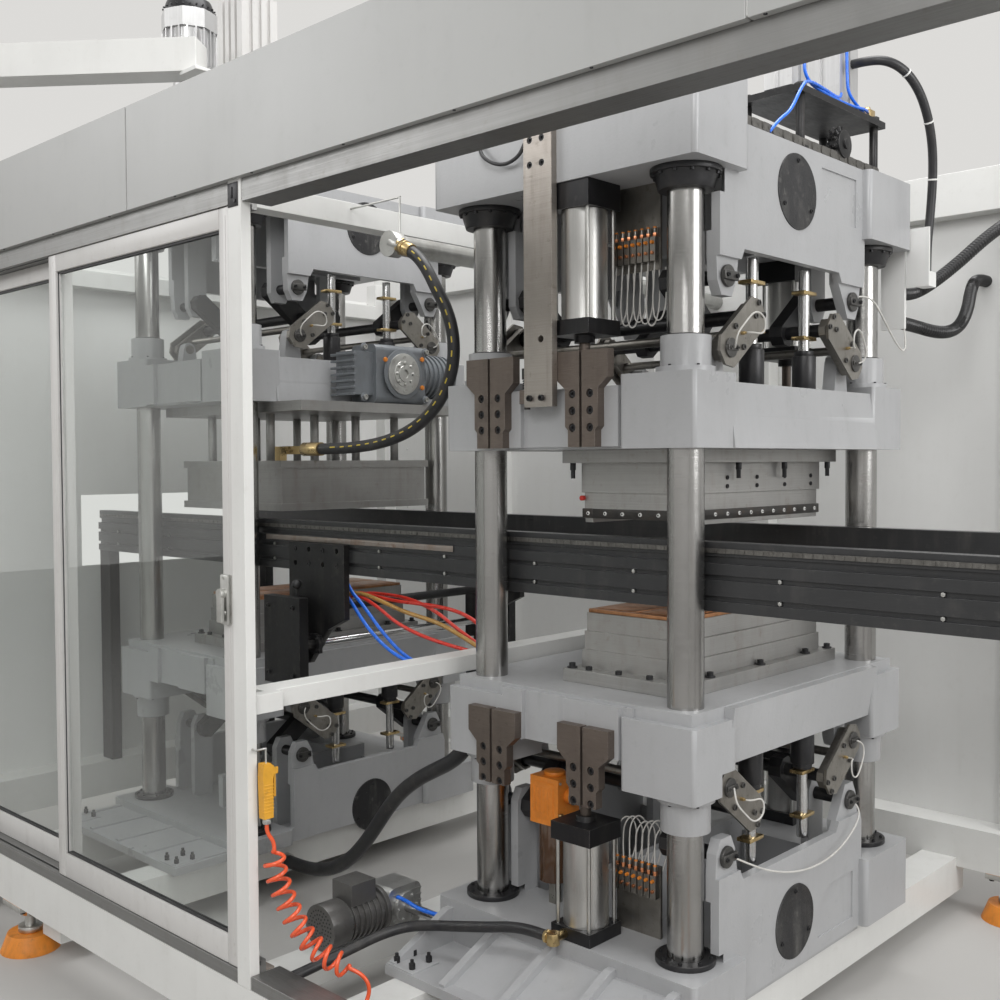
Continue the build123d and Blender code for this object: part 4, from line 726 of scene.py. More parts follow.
mould_aluminium = surface("milled_mould_aluminium", (0.40, 0.395, 0.385), (0.28, 0.42), metallic=0.75,
                          tone=0.09, clouds=6.0, lines=((2.0, 2.0, 520.0), 0.25),
                          dirt=((0.24, 0.20, 0.15), 0.55), wear=((0.80, 0.80, 0.79), 0.002, 0.5))
for name in ("press_upper_mould", "press_lower_mould", "former_upper_mould", "former_lower_mould"):
    cover_node(name, mould_aluminium, 0.0015)
dark_steel = surface("dark_oiled_steel", (0.055, 0.052, 0.050), (0.30, 0.48), metallic=0.7, tone=0.2,
                     clouds=20.0, dirt=((0.16, 0.10, 0.06), 0.5), wear=((0.34, 0.33, 0.31), 0.0015, 0.6))
white_plastic = surface("white_nozzle_tips", (0.80, 0.80, 0.78), (0.35, 0.5), tone=0.04, clouds=80.0)
red_cap = surface("red_plastic_cap", (0.55, 0.03, 0.02), (0.3, 0.45), tone=0.1, clouds=60.0)
nozzles = bmesh.new()
tips = bmesh.new()
caps = bmesh.new()
studs = bmesh.new()
STRIP_LOW, STRIP_HIGH = 1398, 1424
STRIP_Y = 352
LEFT_STRIP, RIGHT_STRIP = (545, 579), (841, 875)


def put_plug(spot, away):
    """Adds a white plug with a dark bore to the nozzle strip, pointing along away."""
    spot, away = Vector(spot), Vector(away)
    put_rod(tips, spot, spot + away * 2.5, 5.5, 4.5, sides=16)
    put_rod(studs, spot + away * 2.5, spot + away * 2.9, 2.6, sides=10)


plug_z = (STRIP_LOW + STRIP_HIGH) / 2
for (x0, x1), outer, away in ((LEFT_STRIP, LEFT_STRIP[0], -1), (RIGHT_STRIP, RIGHT_STRIP[1], 1)):
    put_block(nozzles, (x0, -STRIP_Y, STRIP_LOW), (x1, STRIP_Y, STRIP_HIGH), 1.5)
    for step in range(12):
        put_plug((outer, -325 + step * 59, plug_z), (away, 0, 0))
for near, far, face, away in ((-STRIP_Y, -318, -STRIP_Y, -1), (318, STRIP_Y, STRIP_Y, 1)):
    put_block(nozzles, (LEFT_STRIP[1], near, STRIP_LOW), (RIGHT_STRIP[0], far, STRIP_HIGH), 1.5)
    for step in range(6):
        put_plug((566 + step * 58, face, plug_z), (0, away, 0))
for cap_x in (549, 871):
    put_rod(caps, (cap_x, -349, 1452), (cap_x, -361, 1452), 7, sides=20, edge=1.0)
for stud_x in (528, 892):
    for stud_y in (-370, -120, 120, 370):
        put_rod(studs, (stud_x, stud_y, 1547), (stud_x, stud_y, 1528), 8, sides=16, edge=0.8)
        put_rod(studs, (stud_x, stud_y, 1528), (stud_x, stud_y, 1505), 6, sides=6)
for row_z in (1507, 1484):
    for step in range(5):
        put_screw(studs, (545, -300 + step * 150, row_z), (-1, 0, 0), 6, 3)
        put_screw(studs, (875, -300 + step * 150, row_z), (1, 0, 0), 6, 3)
finish_piece("nozzle_strip", nozzles, dark_steel, "press_upper_platen_group")
finish_piece("nozzle_tips", tips, white_plastic, "press_upper_platen_group")
finish_piece("mould_end_caps", caps, red_cap, "press_upper_platen_group")
finish_piece("upper_mould_studs", studs, screw_black, "press_upper_platen_group")
copper = surface("heater_copper_sheet", (0.48, 0.24, 0.12), (0.26, 0.46), metallic=0.9, tone=0.3, clouds=12.0,
                 dirt=((0.12, 0.06, 0.035), 0.8), wear=((0.75, 0.48, 0.33), 0.0015, 0.6))
PRESS_MOULD_TOP = 1148.0
for station, station_x, rise, drop, toggle_y in STATIONS:
    sheet = bmesh.new()
    sheet_z = PRESS_MOULD_TOP - drop
    put_block(sheet, (station_x - 72, -341, sheet_z - 7.9), (station_x + 232, 341, sheet_z + 2), 0.8)
    for left in (station_x - 56, station_x + 84):
        put_block(sheet, (left, -322, sheet_z + 2), (left + 132, 322, sheet_z + 4), 0.6)
    platen_group = f"{station}_lower_platen_group"
    finish_piece(f"{station}_copper_sheet", sheet, copper, platen_group)
    bolts = bmesh.new()
    plate_z = sheet_z - 158
    for bolt_x in (station_x - 98, station_x + 258):
        for bolt_y in (-380, -250, 0, 250, 380):
            put_rod(bolts, (bolt_x, bolt_y, plate_z), (bolt_x, bolt_y, plate_z + 4), 14, sides=24, edge=0.6)
            put_screw(bolts, (bolt_x, bolt_y, plate_z + 4), (0, 0, 1), 9, 10)
    for bolt_x in (station_x - 40, station_x + 60, station_x + 160):
        put_screw(bolts, (bolt_x, -380, plate_z), (0, 0, 1), 9, 10)
    finish_piece(f"{station}_lower_mould_bolts", bolts, screw_black, platen_group)

# Hook brackets of the press
# Sawn steel brackets with a brown oil finish, each held to the platen by three socket screws in
# counterbores, and a forked head that the mould's lifting bar drops into.

bracket_steel = surface("browned_bracket_steel", (0.175, 0.145, 0.125), (0.34, 0.52), metallic=0.75,
                        tone=0.14, clouds=12.0, lines=((30.0, 30.0, 260.0), 0.3),
                        dirt=((0.05, 0.04, 0.035), 0.5), wear=((0.42, 0.37, 0.33), 0.002, 0.7))
cover_node("press_upper_fittings", bracket_steel, 0.0015)
cover_node("press_lower_fittings", bracket_steel, 0.0015)
HOOK_MIDDLES = (379, 439, 695, 751)
HEAD_TO_SCREW = 106
for level, head_z in (("upper", UPPER_PLATEN_LOW + 243), ("lower", LOWER_PLATEN_TOP - 35)):
    screws = bmesh.new()
    for hook_x in HOOK_MIDDLES:
        for row in range(3):
            put_screw(screws, (hook_x, -562.5, head_z - HEAD_TO_SCREW - row * 42), (0, -1, 0), 8.5, 8.5)
    platen_group = f"press_{level}_platen_group"
    finish_piece(f"press_{level}_bracket_screws", screws, screw_black, platen_group)

# Guide bar and index plunger
# A flat steel bar bolted to the crown with four screws, with a spring plunger on the platen
# beside it.

bar_steel = surface("surface_ground_bar", (0.36, 0.33, 0.30), (0.26, 0.42), metallic=0.9, tone=0.10,
                    clouds=9.0, lines=((3.0, 3.0, 420.0), 0.2), dirt=((0.10, 0.07, 0.05), 0.55),
                    wear=((0.66, 0.63, 0.59), 0.002, 0.6))
cover_node("guide_bar", bar_steel, 0.0012)
cover_node("index_plunger", dark_steel, 0.001)
bar_screws = bmesh.new()
for bolt_x in (575, 615):
    for bolt_z in (2362, 2300):
        put_screw(bar_screws, (bolt_x, -585.5, bolt_z), (0, -1, 0), 8, 8)
    put_screw(bar_screws, (bolt_x, -595, 1712), (0, -1, 0), 8, 8)
finish_piece("bar_screws", bar_screws, screw_black, "machine")


def carried_frames(points):
    """For each point, its direction and a normal that is carried along without a twist."""
    normal = None
    frames = []
    for index, point in enumerate(points):
        along = (points[min(index + 1, len(points) - 1)] - points[max(index - 1, 0)]).normalized()
        normal = along.orthogonal() if normal is None else normal
        normal = (normal - along * normal.dot(along)).normalized()
        frames.append((point, along, normal))
    return frames


def put_tube(shape, points, radii, sides):
    """Adds a closed tube that follows points, with a radius for each of them."""
    rings = []
    for (point, along, normal), radius in zip(carried_frames(points), radii):
        turn = Matrix((normal, along.cross(normal), along)).transposed().to_4x4()
        ring = bmesh.ops.create_circle(shape, cap_ends=False, segments=sides, radius=radius,
                                       matrix=Matrix.Translation(point) @ turn)["verts"]
        rings.append(list({edge for corner in ring for edge in corner.link_edges}))
    for first, second in zip(rings, rings[1:]):
        bmesh.ops.bridge_loops(shape, edges=first + second)
    for end in (rings[0], rings[-1]):
        bmesh.ops.holes_fill(shape, edges=end, sides=sides)
    bmesh.ops.recalc_face_normals(shape, faces=shape.faces)


spring = bmesh.new()
spring_foot = Vector((533, -560, 1738))
coils = [spring_foot + Vector((11 * math.cos(step * math.tau / 12), 11 * math.sin(step * math.tau / 12),
                               step * 0.5)) for step in range(85)]
put_tube(spring, coils, [1.6] * len(coils), 8)
finish_piece("plunger_spring", spring, screw_black, "press_upper_platen_group")

# Air cylinders of the press
# Stainless barrels between black heads, with four tie rods and brass elbows for the air lines.

cylinder_black = surface("black_anodised_heads", (0.016, 0.016, 0.018), (0.28, 0.42), metallic=0.35, tone=0.2,
                         clouds=14.0, dirt=((0.12, 0.11, 0.10), 0.35), wear=((0.35, 0.35, 0.35), 0.0015, 0.6))
cover_node("press_air_cylinders", cylinder_black, 0.0015)
barrel_steel = surface("stainless_barrel", (0.60, 0.595, 0.58), (0.24, 0.34), metallic=1.0, tone=0.05,
                       clouds=6.0, lines=((320.0, 320.0, 3.0), 0.06), dirt=((0.20, 0.17, 0.14), 0.25))
barrels = bmesh.new()
ties = bmesh.new()
elbows = bmesh.new()
CYLINDER_X = 680
UPPER_BARREL_LOW, LOWER_BARREL_HIGH = 1906, 586
for cylinder_y, top_high, low_low in ((-505, 2181, 367), (505, 2109, 439)):
    for low, high in ((UPPER_BARREL_LOW, top_high), (low_low, LOWER_BARREL_HIGH)):
        put_rod(barrels, (CYLINDER_X, cylinder_y, low + 0.5), (CYLINDER_X, cylinder_y, high - 0.5), 58.8,
                sides=64)
        for side_x in (-51, 51):
            for side_y in (-51, 51):
                tie = (CYLINDER_X + side_x, cylinder_y + side_y)
                put_rod(ties, (*tie, low - 0.5), (*tie, high + 0.5), 5, sides=12)
    for head_z in (UPPER_BARREL_LOW - 18, LOWER_BARREL_HIGH + 20):
        for start_x, end_x, radius, sides in ((616, 600, 9, 6), (600, 592, 10, 20)):
            put_rod(elbows, (start_x, cylinder_y, head_z), (end_x, cylinder_y, head_z), radius, sides=sides,
                    edge=1.0)
        put_rod(elbows, (596, cylinder_y, head_z), (596, cylinder_y, head_z + 22), 7, sides=20, edge=1.0)
finish_piece("cylinder_barrels", barrels, barrel_steel, "machine")
finish_piece("cylinder_tie_rods", ties, zinc_plate, "machine")
finish_piece("cylinder_elbows", elbows, brass, "machine")

# Guide rods between the platens and the castings
# Chromed rods between the columns of the open end's side, clamped by brass strips at the castings
# and running into black bushes on the platens' ends.

guide_chrome = surface("guide_rod_chrome", (0.64, 0.64, 0.64), (0.08, 0.16), metallic=1.0, tone=0.03,
                       clouds=6.0, lines=((4.0, 4.0, 800.0), 0.08), dirt=((0.2, 0.16, 0.1), 0.2))
guide_rods = bmesh.new()
clamps = bmesh.new()
for station, station_x, rise, drop, toggle_y in STATIONS:
    for level, up, far_z, near_z, seat_z in (
        ("upper", 1, 2066 + rise, 1700 + rise, 1742 + rise),
        ("lower", -1, 514 - drop, 880 - drop, 811 - drop),
    ):
        bushes = bmesh.new()
        for guide_y in (-133, 137):
            x, y = station_x + 345, toggle_y + guide_y
            put_rod(guide_rods, (x, y, far_z), (x, y, near_z), 15, sides=32)
            for clamp_z in (far_z - up * 62, far_z - up * 184):
                put_block(clamps, (x - 20, y - 34, clamp_z - 5), (x + 20, y + 34, clamp_z + 5), 1.5)
            neck_z = seat_z + up * 92
            put_rod(bushes, (x, y, seat_z), (x, y, neck_z), 32, sides=40, edge=2.0)
            put_rod(bushes, (x, y, neck_z), (x, y, neck_z + up * 14), 26, sides=40, edge=1.5)
        platen_group = f"{station}_{level}_platen_group"
        finish_piece(f"{station}_{level}_guide_bushes", bushes, black_casting, platen_group)
finish_piece("guide_rods", guide_rods, guide_chrome, "machine")
finish_piece("guide_clamps", clamps, brass, "machine")

# Chain rails
# A pair of black anodised aluminium extrusions, each with a roller chain along its top. Slot
# bolts hold the fittings in the grooves, and the front rail has a rusty steel strip.


def paint_part(name, material, low, high):
    """Gives the faces of a CAD node that lie between two corners, in millimetres, a finish of their own."""
    node = nodes[name]
    node.data.materials.append(material)
    index = len(node.data.materials) - 1
    for face in node.data.polygons:
        if all(a <= value * 1000 <= b for a, value, b in zip(low, face.center, high)):
            face.material_index = index


rail_black = surface("black_anodised_rail", (0.052, 0.053, 0.055), (0.26, 0.38), metallic=0.5, tone=0.12,
                     clouds=5.0, lines=((2.0, 420.0, 420.0), 0.12), dirt=((0.15, 0.14, 0.13), 0.4),
                     wear=((0.30, 0.30, 0.31), 0.0015, 0.5))
cover_node("chain_rails", rail_black, 0.001)
chain_steel = surface("oiled_roller_chain", (0.17, 0.165, 0.155), (0.28, 0.45), metallic=0.9, tone=0.2,
                      clouds=60.0, dirt=((0.03, 0.022, 0.016), 0.6), wear=((0.45, 0.43, 0.40), 0.001, 0.6))


def put_chain(shape, start, along, outward, up, links, pitch, height, width):
    """Adds a roller chain: waisted plates in pairs and a roller at each pin, from start along a vector."""
    start, along = Vector(start), Vector(along)
    outward, up = Vector(outward), Vector(up)
    turn = Matrix((along, outward, up)).transposed().to_4x4()
    for link in range(links):
        middle = start + along * (pitch * (link + 0.5))
        offset = width / 2 - (1.2 if link % 2 else 2.8)
        for side in (-1, 1):
            place = Matrix.Translation(middle + outward * (side * offset)) @ turn
            size = Matrix.Diagonal((pitch * 1.55, 1.4, height, 1.0))
            plate = bmesh.ops.create_cube(shape, size=1.0, matrix=place @ size)["verts"]
            corners = [line for line in {e for v in plate for e in v.link_edges}
                       if abs((line.verts[0].co - line.verts[1].co).normalized().dot(outward)) > 0.9]
            soften(shape, corners, height * 0.34)
        pin = start + along * (pitch * link)
        put_rod(shape, pin - outward * (width / 2), pin + outward * (width / 2), height * 0.22, sides=8)


RAIL_PITCH = 12.7
CHAIN_LENGTH = 4080
for side, name in ((-1, "front"), (1, "rear")):
    chain = bmesh.new()
    put_chain(chain, (-CHAIN_LENGTH / 2, side * 409, 1334.5), (1, 0, 0), (0, side, 0), (0, 0, side),
              int(CHAIN_LENGTH / RAIL_PITCH), RAIL_PITCH, 11.0, 9.0)
    finish_piece(f"{name}_rail_chain", chain, chain_steel, "machine")
groove_bolts = bmesh.new()
for side in (-1, 1):
    for bolt_x in (-1900, -1500, -1100, -800, -560, -505, -240, 60, 420, 760, 1180, 1560, 1900):
        for groove_z in (1219, 1270):
            behind_plate = side < 0 and -700 < bolt_x < -380
            if not behind_plate:
                put_rod(groove_bolts, (bolt_x, side * 404, groove_z), (bolt_x, side * 410, groove_z), 5.4,
                        sides=6, edge=0.6)
finish_piece("rail_slot_bolts", groove_bolts, zinc_plate, "machine")
strip = bmesh.new()
put_block(strip, (-839, -415.6, 1286), (104, -414.6, 1303), 0.3)
finish_piece("rail_wear_strip", strip, rusty_steel, "machine")

# Rail supports
# Black steel adjusting plates with rows of holes, blocks and a pair of cross shafts between them,
# and black stands at the rails' ends.

support_black = surface("black_steel_plate", (0.022, 0.022, 0.023), (0.32, 0.46), metallic=0.5, tone=0.2,
                        clouds=10.0, lines=((90.0, 30.0, 90.0), 0.15), dirt=((0.12, 0.11, 0.10), 0.5),
                        wear=((0.32, 0.31, 0.30), 0.002, 0.6))
cover_node("rail_supports", support_black, 0.0015)
paint_part("rail_supports", guide_chrome, (-546, -412.5, 934), (-514, 412.5, 966))
shaft_parts = bmesh.new()
SHAFT_X, SHAFT_Z = -530, 950
for side in (-1, 1):
    put_rod(shaft_parts, (SHAFT_X, side * 434, SHAFT_Z), (SHAFT_X, side * 449, SHAFT_Z), 34, sides=40,
            edge=1.5)
    put_screw_ring(shaft_parts, (SHAFT_X, side * 449, SHAFT_Z), (0, side, 0), 26, 4, 45, 4, 3)
    for bolt_z in (850, 1075):
        for bolt_x in (-680, -545):
            put_screw(shaft_parts, (bolt_x, side * 520, bolt_z), (0, side, 0), 8, 7)
    for column in range(4):
        for row in (1262, 1214):
            if (column + (row > 1240)) % 2:
                put_screw(shaft_parts, (-644 + column * 74, side * 433, row), (0, side, 0), 8, 4)
put_rod(shaft_parts, (-590, -470, 1108), (-590, -470, 1132), 5, sides=12)
bmesh.ops.create_uvsphere(shaft_parts, u_segments=24, v_segments=16, radius=17,
                          matrix=Matrix.Translation((-590, -470, 1146)))
finish_piece("shaft_bearings", shaft_parts, black_casting, "machine")

# Crown chain drive of the press
# A two-strand roller chain runs over a sprocket along the crown, beside the black carrier on its
# four posts, which holds the two aluminium profile cylinders.

profile_aluminium = surface("profile_aluminium", (0.62, 0.62, 0.62), (0.30, 0.42), metallic=0.85, tone=0.05,
                            clouds=6.0, lines=((260.0, 260.0, 3.0), 0.15), dirt=((0.25, 0.22, 0.20), 0.3),
                            wear=((0.82, 0.82, 0.82), 0.0015, 0.4))
cover_node("top_cylinders", profile_aluminium, 0.0012)
paint_part("top_cylinders", support_black, (800, -40, 2360), (1030, 480, 2539))
paint_part("top_cylinders", door_aluminium, (-930, -540, 2600), (-770, -380, 3150))
crown_chain = bmesh.new()
STRANDS = (1012, 995)
CROWN_PITCH = 25.4
TEETH = 13
hub = (214, 2426)
for strand_x in STRANDS:
    put_chain(crown_chain, (strand_x, -338, 2388), (0, 1, 0), (1, 0, 0), (0, 0, 1), 30, CROWN_PITCH, 22.0,
              15.0)
finish_piece("crown_chain", crown_chain, chain_steel, "machine")
sprocket = bmesh.new()
put_rod(sprocket, (990, *hub), (1024, *hub), 38, sides=32, edge=1.5)
for tooth in range(TEETH):
    angle = math.tau * tooth / TEETH
    tip = Vector((0, math.cos(angle), math.sin(angle)))
    for strand_x in STRANDS:
        middle = Vector((strand_x, *hub))
        put_rod(sprocket, middle + tip * 34, middle + tip * 50, 7, 3.5, sides=8)
put_rod(sprocket, (985, *hub), (1030, *hub), 14, sides=24, edge=1.0)
CARRIER_TOP = 2538.5
for post in ((840, 5), (840, 435), (1000, 5), (1000, 435)):
    put_rod(sprocket, (*post, 2370), (*post, 2384), 22, sides=6, edge=1.5)
    put_rod(sprocket, (*post, CARRIER_TOP), (*post, 2550), 16, sides=6, edge=1.5)
put_block(sprocket, (985, 175, 2372), (1000, 253, 2430), 2.0)
finish_piece("crown_sprocket_and_carrier", sprocket, support_black, "machine")
heads = bmesh.new()
for head_y, half, top in ((330, 55.6, 2800), (70, 42.6, 2780)):
    for low, high in ((CARRIER_TOP, 2562), (top - 22, top - 1)):
        put_block(heads, (920 - half, head_y - half, low), (920 + half, head_y + half, high), 2.0)
finish_piece("profile_cylinder_heads", heads, cylinder_black, "machine")

# Lifting column and vertical motor of the forming station
# The motor is light grey with cast fins and a black fan cowl over an octagonal rim.

cowl = bmesh.new()
MOTOR_MIDDLE = (-1220, -460)
put_rod(cowl, (*MOTOR_MIDDLE, 3191), (*MOTOR_MIDDLE, 3235), 95, 80, sides=48, edge=4.0)
put_rod(cowl, (*MOTOR_MIDDLE, 3235), (*MOTOR_MIDDLE, 3244.5), 80, 55, sides=48, edge=2.0)
vent_ring = Vector((*MOTOR_MIDDLE, 3205))
for step in range(24):
    angle = math.tau * step / 24
    across = Vector((math.cos(angle), math.sin(angle), 0))
    put_rod(cowl, vent_ring + across * 90, vent_ring + across * 95.5, 3.5, sides=8)
finish_piece("top_motor_cowl", cowl, cylinder_black, "machine")

# Cable duct
# A white sheet-metal trunk from the lifting column over the operator's side, with a joint near
# its end.

cover_node("cable_duct", white_paint, 0.003)

# Forming station's gearmotor
# Cast aluminium gearbox and motor in blue-grey paint, ribbed along its length, with corner bolts,
# orange plugs and a bright hollow shaft in a bolted flange.

motor_grey = surface("blue_grey_motor_paint", (0.175, 0.19, 0.205), (0.26, 0.40), tone=0.08, clouds=9.0,
                     peel=0.4, peel_scale=170.0, dirt=((0.07, 0.06, 0.055), 0.5),
                     wear=((0.46, 0.48, 0.50), 0.003, 0.5))
cover_node("gearmotor", motor_grey, 0.002)
cover_node("motor_hub", zinc_plate, 0.0012)
housing = bmesh.new()
for rib in range(7):
    rib_z = 1794 + rib * 24
    put_block(housing, (-802, -154, rib_z), (-668, -144, rib_z + 9), 2.0)
hub_bolts = bmesh.new()
for boss in ((-128, 1786), (-128, 1964), (168, 1786), (168, 1964)):
    put_rod(housing, (-645, *boss), (-637, *boss), 15, sides=32, edge=2.0)
    put_screw(hub_bolts, (-637, *boss), (1, 0, 0), 9, 8)
SHAFT_Y, SHAFT_HEIGHT = 60, 1877
put_rod(housing, (-645, SHAFT_Y, SHAFT_HEIGHT), (-640.5, SHAFT_Y, SHAFT_HEIGHT), 92, sides=64, edge=2.5)
finish_piece("gearmotor_ribs", housing, motor_grey, "former_upper_platen_group")
put_screw_ring(hub_bolts, (-641, SHAFT_Y, SHAFT_HEIGHT), (1, 0, 0), 62, 8, 0, 6, 6)
put_rod(hub_bolts, (-641.5, SHAFT_Y, SHAFT_HEIGHT), (-636, SHAFT_Y, SHAFT_HEIGHT), 76, sides=48, edge=2.0)
finish_piece("gearmotor_flange", hub_bolts, zinc_plate, "former_upper_platen_group")
plugs = bmesh.new()
orange_plug = surface("orange_plug", (0.75, 0.24, 0.03), (0.3, 0.45), tone=0.1, clouds=60.0)
for plug in ((150, 1830), (-30, 1925), (150, 1935)):
    put_rod(plugs, (-642, *plug), (-634, *plug), 9, sides=6, edge=1.0)
finish_piece("gearmotor_plugs", plugs, orange_plug, "former_upper_platen_group")

# Lower gearmotor
# A grey ribbed motor with a perforated fan cowl and a terminal box, a bright worm gearbox on a
# cross member, and the shaft to the press.

drive_grey = surface("dark_grey_motor_paint", (0.125, 0.122, 0.118), (0.26, 0.40), metallic=0.3, tone=0.1,
                     clouds=12.0, peel=0.4, peel_scale=170.0, dirt=((0.05, 0.04, 0.03), 0.6),
                     wear=((0.42, 0.42, 0.41), 0.003, 0.6))
cover_node("rail_drive", drive_grey, 0.002)
gearbox_skin = surface("cast_aluminium_gearbox", (0.50, 0.50, 0.49), (0.32, 0.46), metallic=0.8, tone=0.1,
                       clouds=18.0, peel=0.5, peel_scale=190.0, dirt=((0.10, 0.08, 0.06), 0.7))
paint_part("rail_drive", gearbox_skin, (-115, -578.5, 120), (3, -440, 300))
paint_part("rail_drive", guide_chrome, (3, -535, 205), (210, -490, 250))
cowl_holes = bmesh.new()
DRIVE_Z = 228
for ring, count in ((14, 8), (26, 14), (38, 20), (50, 26)):
    for step in range(count):
        angle = math.tau * step / count
        spot = Vector((-60 + ring * math.cos(angle), -792.3, DRIVE_Z + ring * math.sin(angle)))
        put_rod(cowl_holes, spot, spot + Vector((0, -0.6, 0)), 2.6, sides=8)
finish_piece("fan_cowl_holes", cowl_holes, screw_black, "machine")
gearbox = bmesh.new()
put_rod(gearbox, (-8, -515, DRIVE_Z), (5, -515, DRIVE_Z), 45, sides=48, edge=2.0)
put_screw_ring(gearbox, (5, -515, DRIVE_Z), (1, 0, 0), 36, 6, 0, 4.5, 5)
for fin in range(5):
    fin_z = 190 + fin * 19
    put_block(gearbox, (-115, -560, fin_z), (-5, -450, fin_z + 5), 1.5)
finish_piece("worm_gearbox", gearbox, gearbox_skin, "machine")

# Central lubricator
# An orange cast pump head over a brown translucent reservoir, with a gauge and two rows of seven
# dosing units that have copper and orange caps and thin nylon lines.

reservoir_brown = surface("brown_reservoir", (0.085, 0.040, 0.018), (0.12, 0.22), tone=0.25, clouds=9.0,
                          dirt=((0.16, 0.10, 0.06), 0.3), coat=0.6)
cover_node("lubricator", link_steel, 0.001)
paint_part("lubricator", orange_plug, (425, -445, 559), (548, -345, 695))
paint_part("lubricator", reservoir_brown, (430, -445, 399), (530, -345, 561))
pump = bmesh.new()
put_rod(pump, (480, -395, 690), (480, -395, 701), 30, sides=32, edge=2.0)
put_block(pump, (446, -441.5, 574), (514, -439.5, 676), 3.0)
for fin in range(6):
    put_block(pump, (442 + fin * 13, -442.5, 590), (447 + fin * 13, -439.5, 662), 1.0)
finish_piece("pump_ribs", pump, orange_plug, "machine")
gauge = bmesh.new()
dial = (-395, 640)
put_rod(gauge, (546, *dial), (552, *dial), 22, sides=40, edge=1.5)
put_rod(gauge, (552, *dial), (553, *dial), 18, sides=40)
put_block(gauge, (553, -396, 638), (553.8, -394, 655))
for corner in ((-432, 570), (-358, 570), (-432, 680), (-358, 680)):
    put_screw(gauge, (530, *corner), (1, 0, 0), 4, 3)
finish_piece("pump_gauge", gauge, zinc_plate, "machine")
cap_copper = surface("copper_cap", (0.62, 0.26, 0.13), (0.22, 0.38), metallic=1.0, tone=0.15, clouds=60.0,
                     dirt=((0.16, 0.06, 0.03), 0.6))
UNIT_PLACES = [710 + unit * 20 for unit in range(7)]
for low, name in ((2050, "upper"), (440, "lower")):
    caps = bmesh.new()
    tips = bmesh.new()
    for unit_x in UNIT_PLACES:
        put_rod(caps, (unit_x, -412, low + 60), (unit_x, -412, low + 70), 6.4, sides=6, edge=0.6)
        put_rod(caps, (unit_x, -422, low + 20), (unit_x, -427, low + 20), 4.5, sides=12, edge=0.5)
        put_rod(tips, (unit_x, -422, low + 46), (unit_x, -429, low + 46), 5.0, 3.8, sides=16)
        put_rod(tips, (unit_x, -412, low + 82), (unit_x, -412, low + 86), 5.2, 4.2, sides=16)
    finish_piece(name + "_dosing_caps", caps, cap_copper, "machine")
    finish_piece(name + "_dosing_tips", tips, orange_plug, "machine")

# Blow gun
# Moulded in yellow-orange plastic with a ribbed grip, hung on a bent wire from the post. A metal
# nut takes the curly hose.

gun_yellow = surface("yellow_orange_plastic", (0.72, 0.36, 0.03), (0.30, 0.45), tone=0.10, clouds=26.0,
                     peel=0.25, peel_scale=300.0, dirt=((0.20, 0.10, 0.03), 0.6))
cover_node("blow_gun", gun_yellow, 0.0012)
paint_part("blow_gun", zinc_plate, (190, -1240, 841), (300, -1160, 880))
paint_part("blow_gun", zinc_plate, (250, -1215, 690), (282, -1175, 707))
cover_node("blow_gun_trigger", gun_yellow, 0.0008)
grip_ribs = bmesh.new()
for rib in range(9):
    rib_z = 722 + rib * 8
    put_block(grip_ribs, (254.2, -1209.2, rib_z), (277.8, -1181.0, rib_z + 3.6), 0.9)
finish_piece("gun_grip_ribs", grip_ribs, gun_yellow, "machine")
gun_nut = bmesh.new()
put_rod(gun_nut, (266, -1195, 694.5), (266, -1195, 704), 11, sides=6, edge=0.8)
finish_piece("gun_hose_nut", gun_nut, zinc_plate, "machine")

# Hose fittings and pipes
# Pressed steel and brass ends, a galvanised pipe along the machine's middle, and bolted plates
# where hoses enter the castings.

cover_node("hose_fittings", zinc_plate, 0.001)
paint_part("hose_fittings", brass, (630, -632, 325), (680, -560, 370))
paint_part("former_upper_mould", brass, (-866, -505, 1555), (-430, -325, 1622))
paint_part("hose_fittings", panel_paint, (955, 570, 1940), (1112, 630, 2245))
paint_part("hose_fittings", black_rubber, (140, -440, 925), (220, -360, 955))
fitting_nuts = bmesh.new()
put_rod(fitting_nuts, (640, -612, 350), (648, -612, 350), 19, sides=6, edge=1.0)
put_rod(fitting_nuts, (-14, -508, 2187), (-8, -508, 2184.4), 25, sides=6, edge=1.0)
put_rod(fitting_nuts, (478, -1112, 275), (478, -1107, 275), 12, sides=6, edge=0.8)
for bolt_z in (2225, 1962):
    for bolt_x in (972, 1022):
        put_rod(fitting_nuts, (bolt_x, 587, bolt_z), (bolt_x, 594, bolt_z), 8, sides=6, edge=0.8)
finish_piece("hose_nuts", fitting_nuts, brass, "machine")

# Hoses and conduits
# Black rubber hoses and corrugated plastic conduits on natural curves between their fittings, and
# the blow gun's curly polyurethane hose. One hose has a dashed yellow line moulded along it.

hose_rubber = surface("hose_rubber", (0.020, 0.020, 0.022), (0.34, 0.50), tone=0.2, clouds=16.0, peel=0.35,
                      peel_scale=260.0, dirt=((0.11, 0.10, 0.09), 0.6))
conduit_plastic = surface("conduit_plastic", (0.012, 0.012, 0.013), (0.24, 0.36), tone=0.15, clouds=20.0,
                          dirt=((0.08, 0.075, 0.07), 0.25))
curly_orange = surface("curly_hose_plastic", (0.80, 0.105, 0.03), (0.18, 0.30), tone=0.08, clouds=20.0,
                       dirt=((0.20, 0.05, 0.02), 0.3), coat=0.3)
dash_yellow = surface("hose_dash_yellow", (0.72, 0.55, 0.06), (0.40, 0.5), tone=0.12, clouds=60.0,
                      dirt=((0.20, 0.16, 0.05), 0.6))


